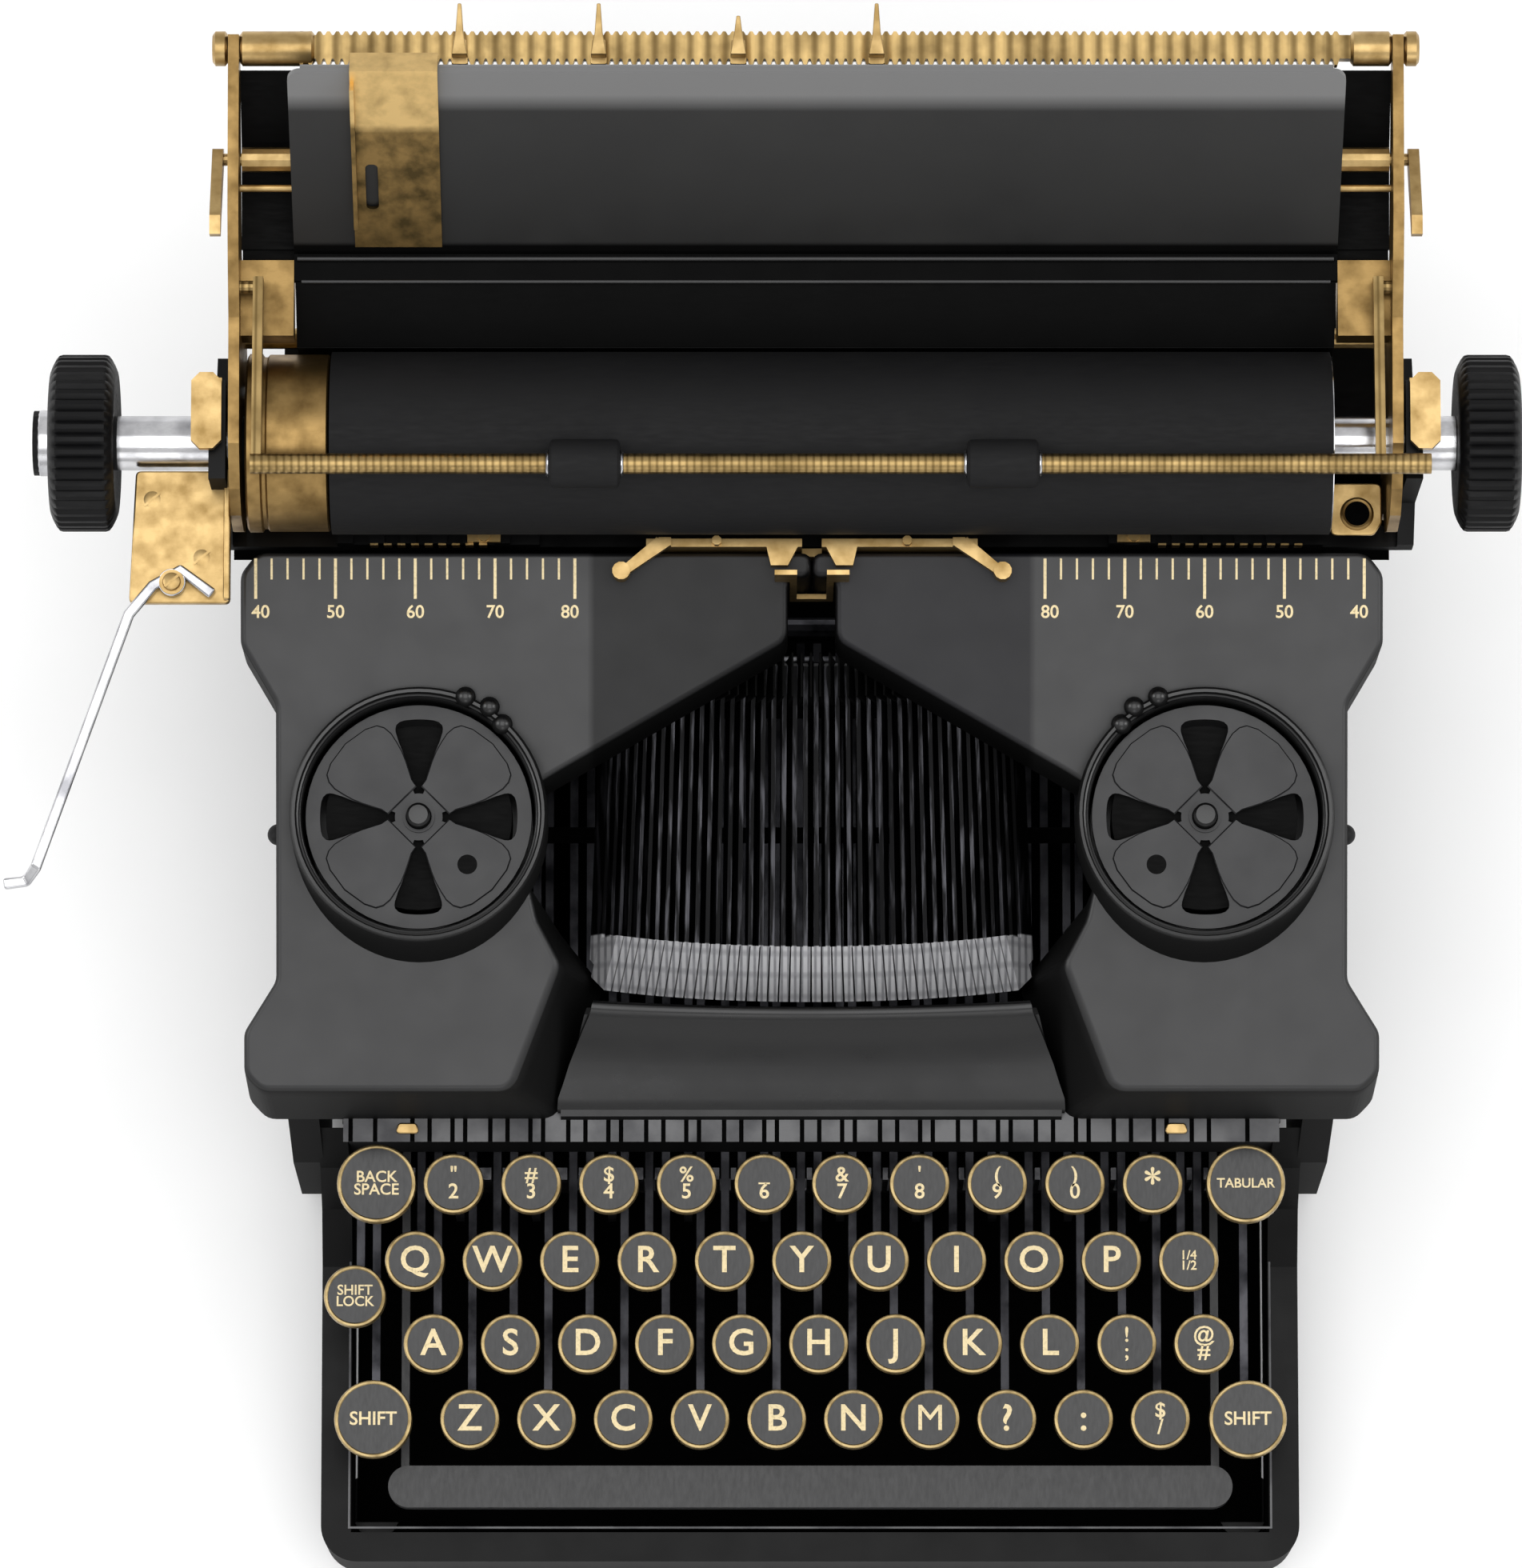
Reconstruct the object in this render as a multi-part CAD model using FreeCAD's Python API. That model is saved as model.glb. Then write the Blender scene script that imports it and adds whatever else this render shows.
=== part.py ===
import FreeCAD, Part
import math
import os
from FreeCAD import Vector

# Front-strike keyboard typewriter. Millimetres, +Z up, +X to the typist's right, +Y to the back.
# While it is built, X = 0 is the middle of the keyboard, Y = 0 the front rail and Z = 0 the table.
# The finished solids are moved so that the origin is the centre of the footprint box.

# Keyboard
KEY_PITCH = 19.05
KEY_R = 7.1
FUNCTION_KEY_R = 9.4
LOCK_KEY_R = 7.4
KEY_CAP_H = 3.6
KEY_SIDES = 12
ROW_RISE = 13.5
FRONT_KEY_TOP = 62.0
ROW_Y = [33.4, 50.8, 69.9, 87.4]
ROW_X = [-84.6, -93.3, -97.5, -87.7]
ROW_COUNT = [10, 11, 11, 10]
SHIFT_X = 108.6
LOCK_X = -112.6
LOCK_Y = 62.1
LOCK_TOP = 80.0
SIDE_KEY_X = 106.6
STEM_W = 2.0
STEM_DEPTH = 4.0
SPACE_BAR_HALF = 105.2
SPACE_BAR_Y = [12.5, 22.9]
SPACE_BAR_TOP = 50.0
SPACE_BAR_H = 6.0
SPACE_ARM_X = 101.2

# Key levers and the rod that they all rock on
LEVER_W = 2.0
LEVER_H = 5.0
LEVER_Z = 38.0
LEVER_END_Y = 232.0
FULCRUM_Y = 228.0
FULCRUM_R = 2.0
LEVER_GAP = 0.3
COMB_Y = [95.0, 98.0]
COMB_Z = [24.0, 47.0]
COMB_CLEAR = 0.45
SHIFT_SHAFT_Y = 238.0
SHIFT_SHAFT_Z = 29.0
SHIFT_SHAFT_R = 3.0
STRIKING_ROW = 1
STRIKING_INDEX = 5

# Frame
FRAME_HALF = 122.4
FLANK_WALL = 7.5
FLANK_TOP = 38.0
FRONT_RAIL_DEPTH = 7.3
FRONT_CORNER_R = 9.0
FRONT_RAIL_RETURN = 12.0
FOOT_H = 8.0
FOOT_R = 11.0
FOOT_SIDES = 20
BODY_HALF = 129.0
BODY_WALL = 7.6
BODY_FRONT_Y = 96.0
BODY_BACK_Y = 290.0
BACK_PLATE = 6.0
PANEL_RECESS = 2.0
PANEL_BORDER = 15.0
PANEL_Y = 101.4
PANEL_T = 2.0
PANEL_FOOT_Z = 52.0

# Ribbon reverse rod and mainspring drum
ROD_Y = 174.9
ROD_Z = 95.0
ROD_R = 2.0
ROD_CLEAR = 0.4
ROD_END = 131.6
DRUM_X = -78.0
DRUM_Z = 106.0
DRUM_R = 25.0
DRUM_GAP = 2.0
DRUM_W = 15.0
DRUM_Y = [BODY_BACK_Y + DRUM_GAP, BODY_BACK_Y + DRUM_GAP + DRUM_W]
DRUM_POST_R = 4.0

# Top covers, each a pressed shell with a sloping top
COVER_FRONT_Y = 105.8
COVER_BACK_Y = 233.9
COVER_FRONT_Z = 138.0
COVER_BACK_Z = 162.0
COVER_DROP = 25.0
COVER_WALL = 1.8
COVER_REAR_HALF = 138.2
COVER_FLARE_HALF = 137.5
NOTCH_HALF = 5.8
NOTCH_BACK_Y = 228.0
COVER_BEVEL = 13.0

# Ribbon cups and spools
CUP_X = 95.0
CUP_Y = 170.4
CUP_R = 31.0
CUP_WALL = 2.6
CUP_RISE = 3.2
CUP_DEPTH = 24.0
CUP_MARGIN = 3.7
COVER_WAIST_HALF = CUP_X + CUP_R + CUP_MARGIN
CUP_FIT = 0.2
CUP_SIDES = 30
SPOOL_R = 27.4
SPOOL_FLANGE = 1.0
SPOOL_H = 15.0
SPOOL_CORE_R = 6.0
SPOOL_RIM = 3.4
SPOOL_HOLE_R = 2.3
SPOOL_POST_R = 3.0
SPOOL_CLEAR = 0.05
PETAL_COUNT = 4
PETAL_GAP_DEG = 28.0

# Type basket: the bars swing about the arc of the segment to the printing point
PRINT_Y = 236.0
PRINT_Z = 178.0
STRIKE_GAP = 0.6
BAR_COUNT = 42
STRIKING_BAR = 21
BAR_HALF_FAN = 44.5
BAR_PIVOT_R = 69.0
BAR_PIVOT_BACK = 24.7
BAR_SWING = 109.0
BAR_T = 1.1
BAR_DEPTH = 4.4
BAR_TAIL = 4.0
SLUG_LEN = 13.8
SLUG_T = 2.2
SLUG_DEPTH = 5.6
SEGMENT_IN_R = 60.0
SEGMENT_OUT_R = 79.0
SEGMENT_DEPTH = 11.0
RING_SIDES = 60
SLOT_CLEAR = 0.35
GUIDE_GAP = 2.4
CARD_BALL = [46.0, 228.1, 168.4]

# Platen, its ratchet and its knobs
PLATEN_Y = 258.0
PLATEN_Z = 176.0
PLATEN_R = 22.0
PLATEN_X = [-115.5, 124.5]
RATCHET_X = [-135.7, -115.5]
RATCHET_BELOW = 0.5
RATCHET_R = PLATEN_R - RATCHET_BELOW
RATCHET_TEETH = 24
RATCHET_TOOTH = 1.6
SHAFT_R = 6.5
SHAFT_CLEAR = 0.06
STUB_X = -187.3
STUB_R = 7.8
KNOB_R = 21.3
KNOB_LEFT_X = [-183.1, -167.3]
KNOB_RIGHT_X = [155.0, 169.9]
KNOB_RIBS = 18
KNOB_GROOVE = 1.1
FEED_ROLL_R = 5.0
FEED_ROLL_GAP = 0.4
FEED_ROLL_OFFSET = 11.0

# Carriage
END_PLATE_LEFT_X = [-139.6, -137.0]
END_PLATE_RIGHT_X = [138.6, 141.2]
UPRIGHT_T = 4.0
UPRIGHT_GAP = 0.8
UPRIGHT_Y = [246.0, 270.0]
UPRIGHT_TOP = 194.0
SHIFT_LIFT = 6.5
PIN_R = 1.5
PEG_SIDES = 12
BED_BAR_Z = [147.5, 152.0]
BED_FRONT_Y = [237.0, 242.0]
BED_REAR_Y = [277.5, 283.0]
RAIL_R = 3.0
RAIL_GAP = 0.4
RAIL_Z = BED_BAR_Z[0] - RAIL_GAP - RAIL_R
MARGIN_PITCH = 7.62
MARGIN_LEFT_X = [-115.0, -66.0]
MARGIN_RIGHT_X = [72.0, 124.0]
MARGIN_STOP_X = [-79.4, 78.0]
MARGIN_CLEAR = 0.3
BAIL_ROD_R = 2.45
BAIL_ROLLER_R = 5.8
BAIL_ROLLER_GAP = 0.4
BAIL_FORWARD = 10.0
BAIL_PIVOT_Y = 292.0
BAIL_PIVOT_Z = 197.0
BAIL_ARM_LEFT_X = -132.6
BAIL_ARM_RIGHT_X = 135.4
BAIL_ROD_RIGHT = 147.4
BAIL_ROLLER_LEFT_X = [-63.6, -45.0]
BAIL_ROLLER_RIGHT_X = [36.0, 54.7]
TABLE_X = [-124.3, 126.0]
TABLE_FOOT = [300.7, 192.0]
TABLE_HEAD = [335.3, 238.0]
TABLE_T = 1.4
TABLE_CORNER_R = 3.0
TABLE_ROLL_R = 2.0
TABLE_LEDGE_Y = [294.5, 299.4]
LEDGE_Z = TABLE_FOOT[1] - 2.2
RACK_Y = [344.0, 350.5]
RACK_Z = [206.5, 210.0]
RACK_PITCH = 4.4
RACK_TOOTH = 2.0
RACK_SOCKET_R = 4.2
RACK_CAP = 4.0
SHELF_T = 1.2
TAB_STOP_X = [-84.2, -51.0, -17.7, 15.3]
TAB_REACH = 13.0
GUIDE_X = [-109.5, -88.7]
GUIDE_CLEAR = 0.4
RELEASE_Y = 322.5
RELEASE_Z = 200.0
RELEASE_R = 3.0
LEVER_PIVOT = [-153.6, 223.0]
LEVER_ELBOW = [-164.0, 216.6]
LEVER_TIP = [-186.4, 153.0]
LEVER_END = [-194.0, 152.4]
LEVER_PLATE_Z = 176.5
LEVER_PLATE_T = 3.0
LEVER_POST_R = 3.0
LEVER_W_STRIP = 6.0


def top_z(y):
    """Height of the sloping cover top at a depth y."""
    slope = (COVER_BACK_Z - COVER_FRONT_Z) / (COVER_BACK_Y - COVER_FRONT_Y)
    return COVER_FRONT_Z + (y - COVER_FRONT_Y) * slope


def box(x0, x1, y0, y1, z0, z1):
    return Part.makeBox(x1 - x0, y1 - y0, z1 - z0, Vector(x0, y0, z0))


def rod_x(x0, x1, y, z, r):
    return Part.makeCylinder(r, x1 - x0, Vector(x0, y, z), Vector(1, 0, 0))


def rod_y(x, y0, y1, z, r):
    return Part.makeCylinder(r, y1 - y0, Vector(x, y0, z), Vector(0, 1, 0))


def rod_z(x, y, z0, z1, r):
    return Part.makeCylinder(r, z1 - z0, Vector(x, y, z0), Vector(0, 0, 1))


def face_of(points):
    return Part.Face(Part.makePolygon(points + [points[0]]))


def round_outline(a, b, r, sides):
    """Corners of an even polygon drawn in a circle, for round pieces that repeat or need few faces."""
    turn = 2 * math.pi / sides
    return [(a + r * math.cos(turn * (i + 0.5)), b + r * math.sin(turn * (i + 0.5))) for i in range(sides)]


def disc_z(x, y, z0, z1, r, sides):
    return prism_xy(round_outline(x, y, r, sides), z0, z1)


def disc_x(x0, x1, y, z, r, sides):
    return prism_yz(round_outline(y, z, r, sides), x0, x1)


def peg_x(x0, x1, y, z, r):
    """Thin rod along X with few faces."""
    return disc_x(x0, x1, y, z, r, PEG_SIDES)


def peg_hole_x(x0, x1, y, z, r):
    """Hole whose flats keep a running clearance round a rod of this radius."""
    return peg_x(x0, x1, y, z, (r + SHAFT_CLEAR) / math.cos(math.pi / PEG_SIDES))


def prism_yz(outline, x0, x1):
    """Extrude an outline of (y, z) points along X."""
    return face_of([Vector(x0, y, z) for y, z in outline]).extrude(Vector(x1 - x0, 0, 0))


def prism_xy(outline, z0, z1):
    """Extrude an outline of (x, y) points up Z."""
    return face_of([Vector(x, y, z0) for x, y in outline]).extrude(Vector(0, 0, z1 - z0))


def prism_xz(outline, y0, y1):
    """Extrude an outline of (x, z) points along Y."""
    return face_of([Vector(x, y0, z) for x, z in outline]).extrude(Vector(0, y1 - y0, 0))


def fuse(shapes):
    joined = shapes[0]
    if len(shapes) > 1:
        joined = shapes[0].multiFuse(shapes[1:])
    return joined.removeSplitter()


def mirror(shape):
    return shape.mirror(Vector(0, 0, 0), Vector(1, 0, 0))


def bar_between(start, end, r):
    """Round bar from one point to another."""
    run = end - start
    return Part.makeCylinder(r, run.Length, start, run)


def edges_along(shape, direction):
    """Straight edges that run along a direction."""
    found = []
    for edge in shape.Edges:
        if len(edge.Vertexes) == 2:
            run = edge.Vertexes[1].Point - edge.Vertexes[0].Point
            if run.Length > 0 and abs(run.normalize().dot(direction)) > 0.999:
                found.append(edge)
    return found


def inset(points, amount):
    """Move each side of a closed clockwise or anticlockwise outline inwards by an amount."""
    count = len(points)
    area = 0.0
    for i in range(count):
        x0, y0 = points[i]
        x1, y1 = points[(i + 1) % count]
        area += x0 * y1 - x1 * y0
    turn = 1.0 if area > 0 else -1.0
    moved = []
    for i in range(count):
        px, py = points[i - 1]
        cx, cy = points[i]
        nx, ny = points[(i + 1) % count]
        a = Vector(cx - px, cy - py, 0).normalize()
        b = Vector(nx - cx, ny - cy, 0).normalize()
        na = Vector(-a.y, a.x, 0) * turn
        nb = Vector(-b.y, b.x, 0) * turn
        grow = amount / (1.0 + na.dot(nb))
        moved.append((cx + (na.x + nb.x) * grow, cy + (na.y + nb.y) * grow))
    return moved


# Frame and feet

def make_feet():
    """Four rubber feet."""
    spots = []
    for x in [-FRAME_HALF + FOOT_R + 2.0, FRAME_HALF - FOOT_R - 2.0]:
        for y in [FOOT_R + 3.0, BODY_BACK_Y - FOOT_R - 5.0]:
            spots.append(disc_z(x, y, 0, FOOT_H, FOOT_R, FOOT_SIDES))
    return Part.makeCompound(spots)


def make_front_rail():
    """Cast rail across the front, with rounded corners that turn back to the side frames."""
    h = FRAME_HALF
    bar = prism_xy([(-h, 0), (h, 0), (h, FRONT_RAIL_RETURN), (-h, FRONT_RAIL_RETURN)], FOOT_H, FLANK_TOP)
    corners = [e for e in edges_along(bar, Vector(0, 0, 1)) if e.Vertexes[0].Y < 0.1]
    bar = bar.makeFillet(FRONT_CORNER_R, corners)
    inner = h - FLANK_WALL
    bar = bar.cut(box(-inner, inner, FRONT_RAIL_DEPTH, FRONT_RAIL_RETURN + 1, FOOT_H - 1, FLANK_TOP + 1))
    for side in [-1, 1]:
        x = side * (h - FOOT_R - 2.0)
        boss = disc_z(x, FOOT_R + 3.0, FOOT_H, FOOT_H + 5.0, 6.0, PEG_SIDES)
        bar = bar.fuse(boss.common(box(-inner, inner, 0, FRONT_RAIL_RETURN, 0, FLANK_TOP)))
    return bar.removeSplitter()


def side_outline():
    """Side of the deep rear body, under the slope of the covers."""
    return [
        (BODY_FRONT_Y, FOOT_H),
        (BODY_FRONT_Y + 2.0, 58.0),
        (COVER_FRONT_Y, 92.0),
        (COVER_FRONT_Y, top_z(COVER_FRONT_Y) - COVER_DROP),
        (COVER_BACK_Y, top_z(COVER_BACK_Y) - COVER_DROP),
        (BODY_BACK_Y - BACK_PLATE, top_z(COVER_BACK_Y) - COVER_DROP),
        (BODY_BACK_Y - BACK_PLATE, FOOT_H),
    ]


def make_side_frame():
    """Right side frame: a low flank beside the keys and a deep recessed panel behind them."""
    inner = FRAME_HALF - FLANK_WALL
    flank = prism_yz(
        [(FRONT_RAIL_RETURN, FOOT_H), (FRONT_RAIL_RETURN, FLANK_TOP), (74.0, FLANK_TOP),
         (88.0, 43.0), (97.0, 55.0), (BODY_FRONT_Y + 8.0, 80.0), (BODY_FRONT_Y + 8.0, FOOT_H)],
        inner, FRAME_HALF)
    outline = side_outline()
    body = prism_yz(outline, BODY_HALF - BODY_WALL, BODY_HALF)
    recess = prism_yz(inset(outline, PANEL_BORDER), BODY_HALF - PANEL_RECESS, BODY_HALF + 1)
    body = body.cut(recess)
    ledge = box(inner, FRAME_HALF, BODY_BACK_Y - BACK_PLATE - 26.0, BODY_BACK_Y - BACK_PLATE, FOOT_H, FOOT_H + 6.0)
    side = fuse([flank, body, ledge])
    return side.cut(peg_x(inner, BODY_HALF + 1, ROD_Y, ROD_Z, ROD_R + ROD_CLEAR))


def make_rear_frame():
    """Back plate with two large windows and the boss of the mainspring."""
    h = BODY_HALF
    top = top_z(COVER_BACK_Y) - COVER_DROP
    plate = box(-h, h, BODY_BACK_Y - BACK_PLATE, BODY_BACK_Y, FOOT_H, top)
    for x0, x1 in [(-30.0, 40.0), (52.0, 112.0)]:
        window = box(x0, x1, BODY_BACK_Y - BACK_PLATE - 1, BODY_BACK_Y + 1, 30.0, 108.0)
        window = window.makeFillet(10.0, edges_along(window, Vector(0, 1, 0)))
        plate = plate.cut(window)
    post = rod_y(DRUM_X, BODY_BACK_Y, DRUM_Y[1] + 2.5, DRUM_Z, DRUM_POST_R)
    return fuse([plate, post])


def make_ribbon_reverse_rod():
    """Rod through both side frames that shifts the ribbon drive."""
    return peg_x(-ROD_END, ROD_END, ROD_Y, ROD_Z, ROD_R)


def make_mainspring_drum():
    """Spring drum that pulls the carriage, a flanged spool on the back of the frame."""
    y0, y1 = DRUM_Y
    flange = prism_xz(round_outline(DRUM_X, DRUM_Z, DRUM_R, CUP_SIDES), y0, y0 + 3.0)
    body = prism_xz(round_outline(DRUM_X, DRUM_Z, DRUM_R - 3.0, CUP_SIDES), y0 + 3.0, y1)
    drum = fuse([flange, body])
    return drum.cut(rod_y(DRUM_X, y0 - 1, y1 + 1, DRUM_Z, DRUM_POST_R + SHAFT_CLEAR))


# Covers over the ribbon spools

def cover_top_outline():
    """Top edge of the left cover, anticlockwise from the middle of the back."""
    return [
        (0.0, COVER_BACK_Y),
        (-COVER_REAR_HALF + 4.0, COVER_BACK_Y),
        (-COVER_REAR_HALF, COVER_BACK_Y - 5.0),
        (-COVER_REAR_HALF, 212.0),
        (-COVER_WAIST_HALF, 197.8),
        (-COVER_WAIST_HALF, 132.1),
        (-COVER_FLARE_HALF, 119.8),
        (-COVER_FLARE_HALF, COVER_FRONT_Y + 4.0),
        (-COVER_FLARE_HALF + 4.0, COVER_FRONT_Y),
        (-74.5, COVER_FRONT_Y),
        (-63.5, 136.0),
        (-62.4, 157.0),
        (-61.5, 181.7),
        (-NOTCH_HALF, 213.0),
        (-NOTCH_HALF, NOTCH_BACK_Y),
        (0.0, NOTCH_BACK_Y),
    ]


def cover_foot_outline():
    """Lower edge of the left cover: as the top, but its front shoulder leans towards the middle."""
    outline = cover_top_outline()
    outline[9] = (-74.5 + COVER_BEVEL, COVER_FRONT_Y)
    outline[10] = (-63.5 + COVER_BEVEL * 0.85, 134.3)
    return outline


def tilted_wire(outline, drop):
    points = [Vector(x, y, top_z(y) - drop) for x, y in outline]
    return Part.makePolygon(points + [points[0]])


def tilted_shell(upper, lower, top_drop, foot_drop):
    """Closed ruled solid between an upper and a lower outline on parallel slopes."""
    return Part.makeLoft([tilted_wire(upper, top_drop), tilted_wire(lower, foot_drop)], True, True)


def make_cover():
    """Left cover: a hollow shell, open below, with the hole that its ribbon cup stands in."""
    upper = cover_top_outline()
    lower = cover_foot_outline()
    outer = tilted_shell(upper, lower, 0.0, COVER_DROP)
    hollow = tilted_shell(inset(upper, COVER_WALL), inset(lower, COVER_WALL), COVER_WALL, COVER_DROP + 1.0)
    shell = outer.cut(hollow)
    cup = disc_z(-CUP_X, CUP_Y, 100.0, COVER_BACK_Z + 10.0, CUP_R + CUP_FIT, CUP_SIDES)
    swing = ring_sector(SEGMENT_IN_R, SEGMENT_OUT_R + 2.0, PANEL_Y + 24.0, COVER_BACK_Y + 1.0,
                        BAR_HALF_FAN + 3.0, CUP_SIDES)
    return shell.cut(cup).cut(swing)


def cup_lip_z():
    return top_z(CUP_Y) + CUP_RISE + CUP_R * (COVER_BACK_Z - COVER_FRONT_Z) / (COVER_BACK_Y - COVER_FRONT_Y)


def cup_floor_z():
    return cup_lip_z() - CUP_DEPTH


def make_ribbon_cup():
    """Left ribbon cup: an upright pressed pan with a floor and the spool's post."""
    lip = cup_lip_z()
    floor = cup_floor_z()
    wall = disc_z(-CUP_X, CUP_Y, floor, lip, CUP_R, CUP_SIDES)
    bore = disc_z(-CUP_X, CUP_Y, floor + COVER_WALL, lip + 1, CUP_R - CUP_WALL, CUP_SIDES)
    cup = wall.cut(bore)
    post = rod_z(-CUP_X, CUP_Y, floor, lip - 1.0, SPOOL_POST_R)
    return fuse([cup, post])


def petal_gap():
    """Window cut between two petals of a spool flange: it flares outwards and stops at the rim."""
    inner = SPOOL_CORE_R + 0.4
    outer = SPOOL_R - SPOOL_RIM
    spread = outer * math.tan(math.radians(PETAL_GAP_DEG / 2))
    side = [(inner, 1.4), (outer * 0.56, 3.0), (outer * 0.87, spread * 1.08), (outer, spread * 0.9)]
    wedge = face_of([Vector(x, -y, 0) for x, y in side] + [Vector(x, y, 0) for x, y in reversed(side)])
    return wedge.extrude(Vector(0, 0, SPOOL_FLANGE + 2.0))


def spool_flange(z):
    """Flange with four petals, as pressed from sheet."""
    flange = disc_z(0, 0, z, z + SPOOL_FLANGE, SPOOL_R, CUP_SIDES)
    gaps = []
    for i in range(PETAL_COUNT):
        gap = petal_gap()
        gap.translate(Vector(0, 0, z - 1.0))
        gap.rotate(Vector(0, 0, 0), Vector(0, 0, 1), 360.0 / PETAL_COUNT * i)
        gaps.append(gap)
    hole = SPOOL_R * 0.43
    gaps.append(disc_z(hole, -hole, z - 1.0, z + 2.0, SPOOL_HOLE_R, PEG_SIDES))
    return flange.cut(Part.makeCompound(gaps))


def make_ribbon_spool():
    """Left spool: a plain and a petalled flange on a core, free on the cup's post."""
    low = cup_floor_z() + COVER_WALL + 2.0
    core = disc_z(0, 0, low, low + SPOOL_H, SPOOL_CORE_R, KEY_SIDES)
    base = disc_z(0, 0, low, low + SPOOL_FLANGE, SPOOL_R, CUP_SIDES)
    spool = fuse([core, base, spool_flange(low + SPOOL_H - SPOOL_FLANGE)])
    spool = spool.cut(rod_z(0, 0, low - 1, low + SPOOL_H + 1, SPOOL_POST_R + SPOOL_CLEAR))
    spool.translate(Vector(-CUP_X, CUP_Y, 0))
    return spool


def make_front_panel():
    """Upright band behind the keys, with the curved apron that rises from it into the basket."""
    inner = FRAME_HALF - FLANK_WALL - 0.2
    band = box(-inner, inner, PANEL_Y, PANEL_Y + PANEL_T, PANEL_FOOT_Z, 112.6)
    foot = cover_foot_outline()
    apron = prism_yz([
        (PANEL_Y, 112.0), (PANEL_Y + 1.0, 115.0), (112.0, 121.0), (119.5, 127.5), (124.8, 135.0),
        (126.6, 134.0), (121.4, 126.2), (113.4, 119.4), (PANEL_Y + PANEL_T, 112.0)], -inner, inner)
    low_x = -foot[9][0] - 0.3
    high_x = -foot[10][0] - 0.3
    clip = prism_xy([(-low_x, 100.0), (low_x, 100.0), (low_x, COVER_FRONT_Y), (high_x, foot[10][1]),
                     (-high_x, foot[10][1]), (-low_x, COVER_FRONT_Y)], 100.0, 150.0)
    return fuse([band, apron.common(clip)])


# Keys and key levers

def row_top(row):
    return FRONT_KEY_TOP + ROW_RISE * row


def key_spot(row, index):
    return ROW_X[row] + KEY_PITCH * index, ROW_Y[row]


def make_lever(x, front_y):
    """Flat key lever that lies over the fulcrum rod."""
    return box(x - LEVER_W / 2, x + LEVER_W / 2, front_y - STEM_DEPTH / 2, LEVER_END_Y,
               LEVER_Z, LEVER_Z + LEVER_H)


def make_key_cap(x, y, top, radius):
    """Key top, close to round."""
    return disc_z(x, y, top - KEY_CAP_H, top, radius, KEY_SIDES)


def make_key(x, y, top, radius):
    """Key top riveted on its flat stem, which stands on its lever: three pieces that touch."""
    stem = box(x - STEM_W / 2, x + STEM_W / 2, y - STEM_DEPTH / 2, y + STEM_DEPTH / 2,
               LEVER_Z + LEVER_H, top - KEY_CAP_H)
    return Part.makeCompound([make_key_cap(x, y, top, radius), stem, make_lever(x, y)])


def character_key(row, index):
    x, y = key_spot(row, index)
    return make_key(x, y, row_top(row), KEY_R)


def column_members(column):
    """Rows and places of the keys that share one column node; the last column takes the odd two."""
    members = []
    last = min(ROW_COUNT) - 1
    for row in range(len(ROW_COUNT)):
        for index in range(ROW_COUNT[row]):
            if min(index, last) == column and (row, index) != (STRIKING_ROW, STRIKING_INDEX):
                members.append((row, index))
    return members


def make_key_column(column):
    return Part.makeCompound([character_key(row, index) for row, index in column_members(column)])


def make_space_bar():
    """Space bar with rounded ends on the stems of two side levers."""
    y0, y1 = SPACE_BAR_Y
    h = SPACE_BAR_HALF
    bar = box(-h, h, y0, y1, SPACE_BAR_TOP - SPACE_BAR_H, SPACE_BAR_TOP)
    bar = bar.makeFillet((y1 - y0) / 2 - 0.1, edges_along(bar, Vector(0, 0, 1)))
    middle = (y0 + y1) / 2
    pieces = [bar]
    for x in [-SPACE_ARM_X, SPACE_ARM_X]:
        pieces.append(make_lever(x, middle))
        pieces.append(box(x - LEVER_W / 2, x + LEVER_W / 2, middle - 2, middle + 2,
                          LEVER_Z + LEVER_H, SPACE_BAR_TOP - SPACE_BAR_H))
    return Part.makeCompound(pieces)


def make_shift_keys():
    """Both shift keys on one cross shaft, notched to clear the fulcrum rod."""
    inner = SHIFT_X - LEVER_W / 2
    pieces = [peg_x(-inner, inner, SHIFT_SHAFT_Y, SHIFT_SHAFT_Z, SHIFT_SHAFT_R)]
    for x in [-SHIFT_X, SHIFT_X]:
        key = make_key(x, ROW_Y[0], row_top(0), FUNCTION_KEY_R)
        notch = box(x - LEVER_W, x + LEVER_W, FULCRUM_Y - 5.0, LEVER_END_Y + 1.0, LEVER_Z - 1, LEVER_Z + 2.6)
        pieces += key.cut(notch).Solids
        pieces.append(box(x - LEVER_W / 2, x + LEVER_W / 2, LEVER_END_Y, SHIFT_SHAFT_Y + SHIFT_SHAFT_R,
                          SHIFT_SHAFT_Z - SHIFT_SHAFT_R, LEVER_Z + LEVER_H))
    return Part.makeCompound(pieces)


def lever_places():
    """Every lever that passes the comb."""
    places = [-SPACE_ARM_X, SPACE_ARM_X, -SHIFT_X, SHIFT_X, LOCK_X, -SIDE_KEY_X, SIDE_KEY_X]
    for row in range(len(ROW_COUNT)):
        for index in range(ROW_COUNT[row]):
            places.append(key_spot(row, index)[0])
    return sorted(places)


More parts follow.
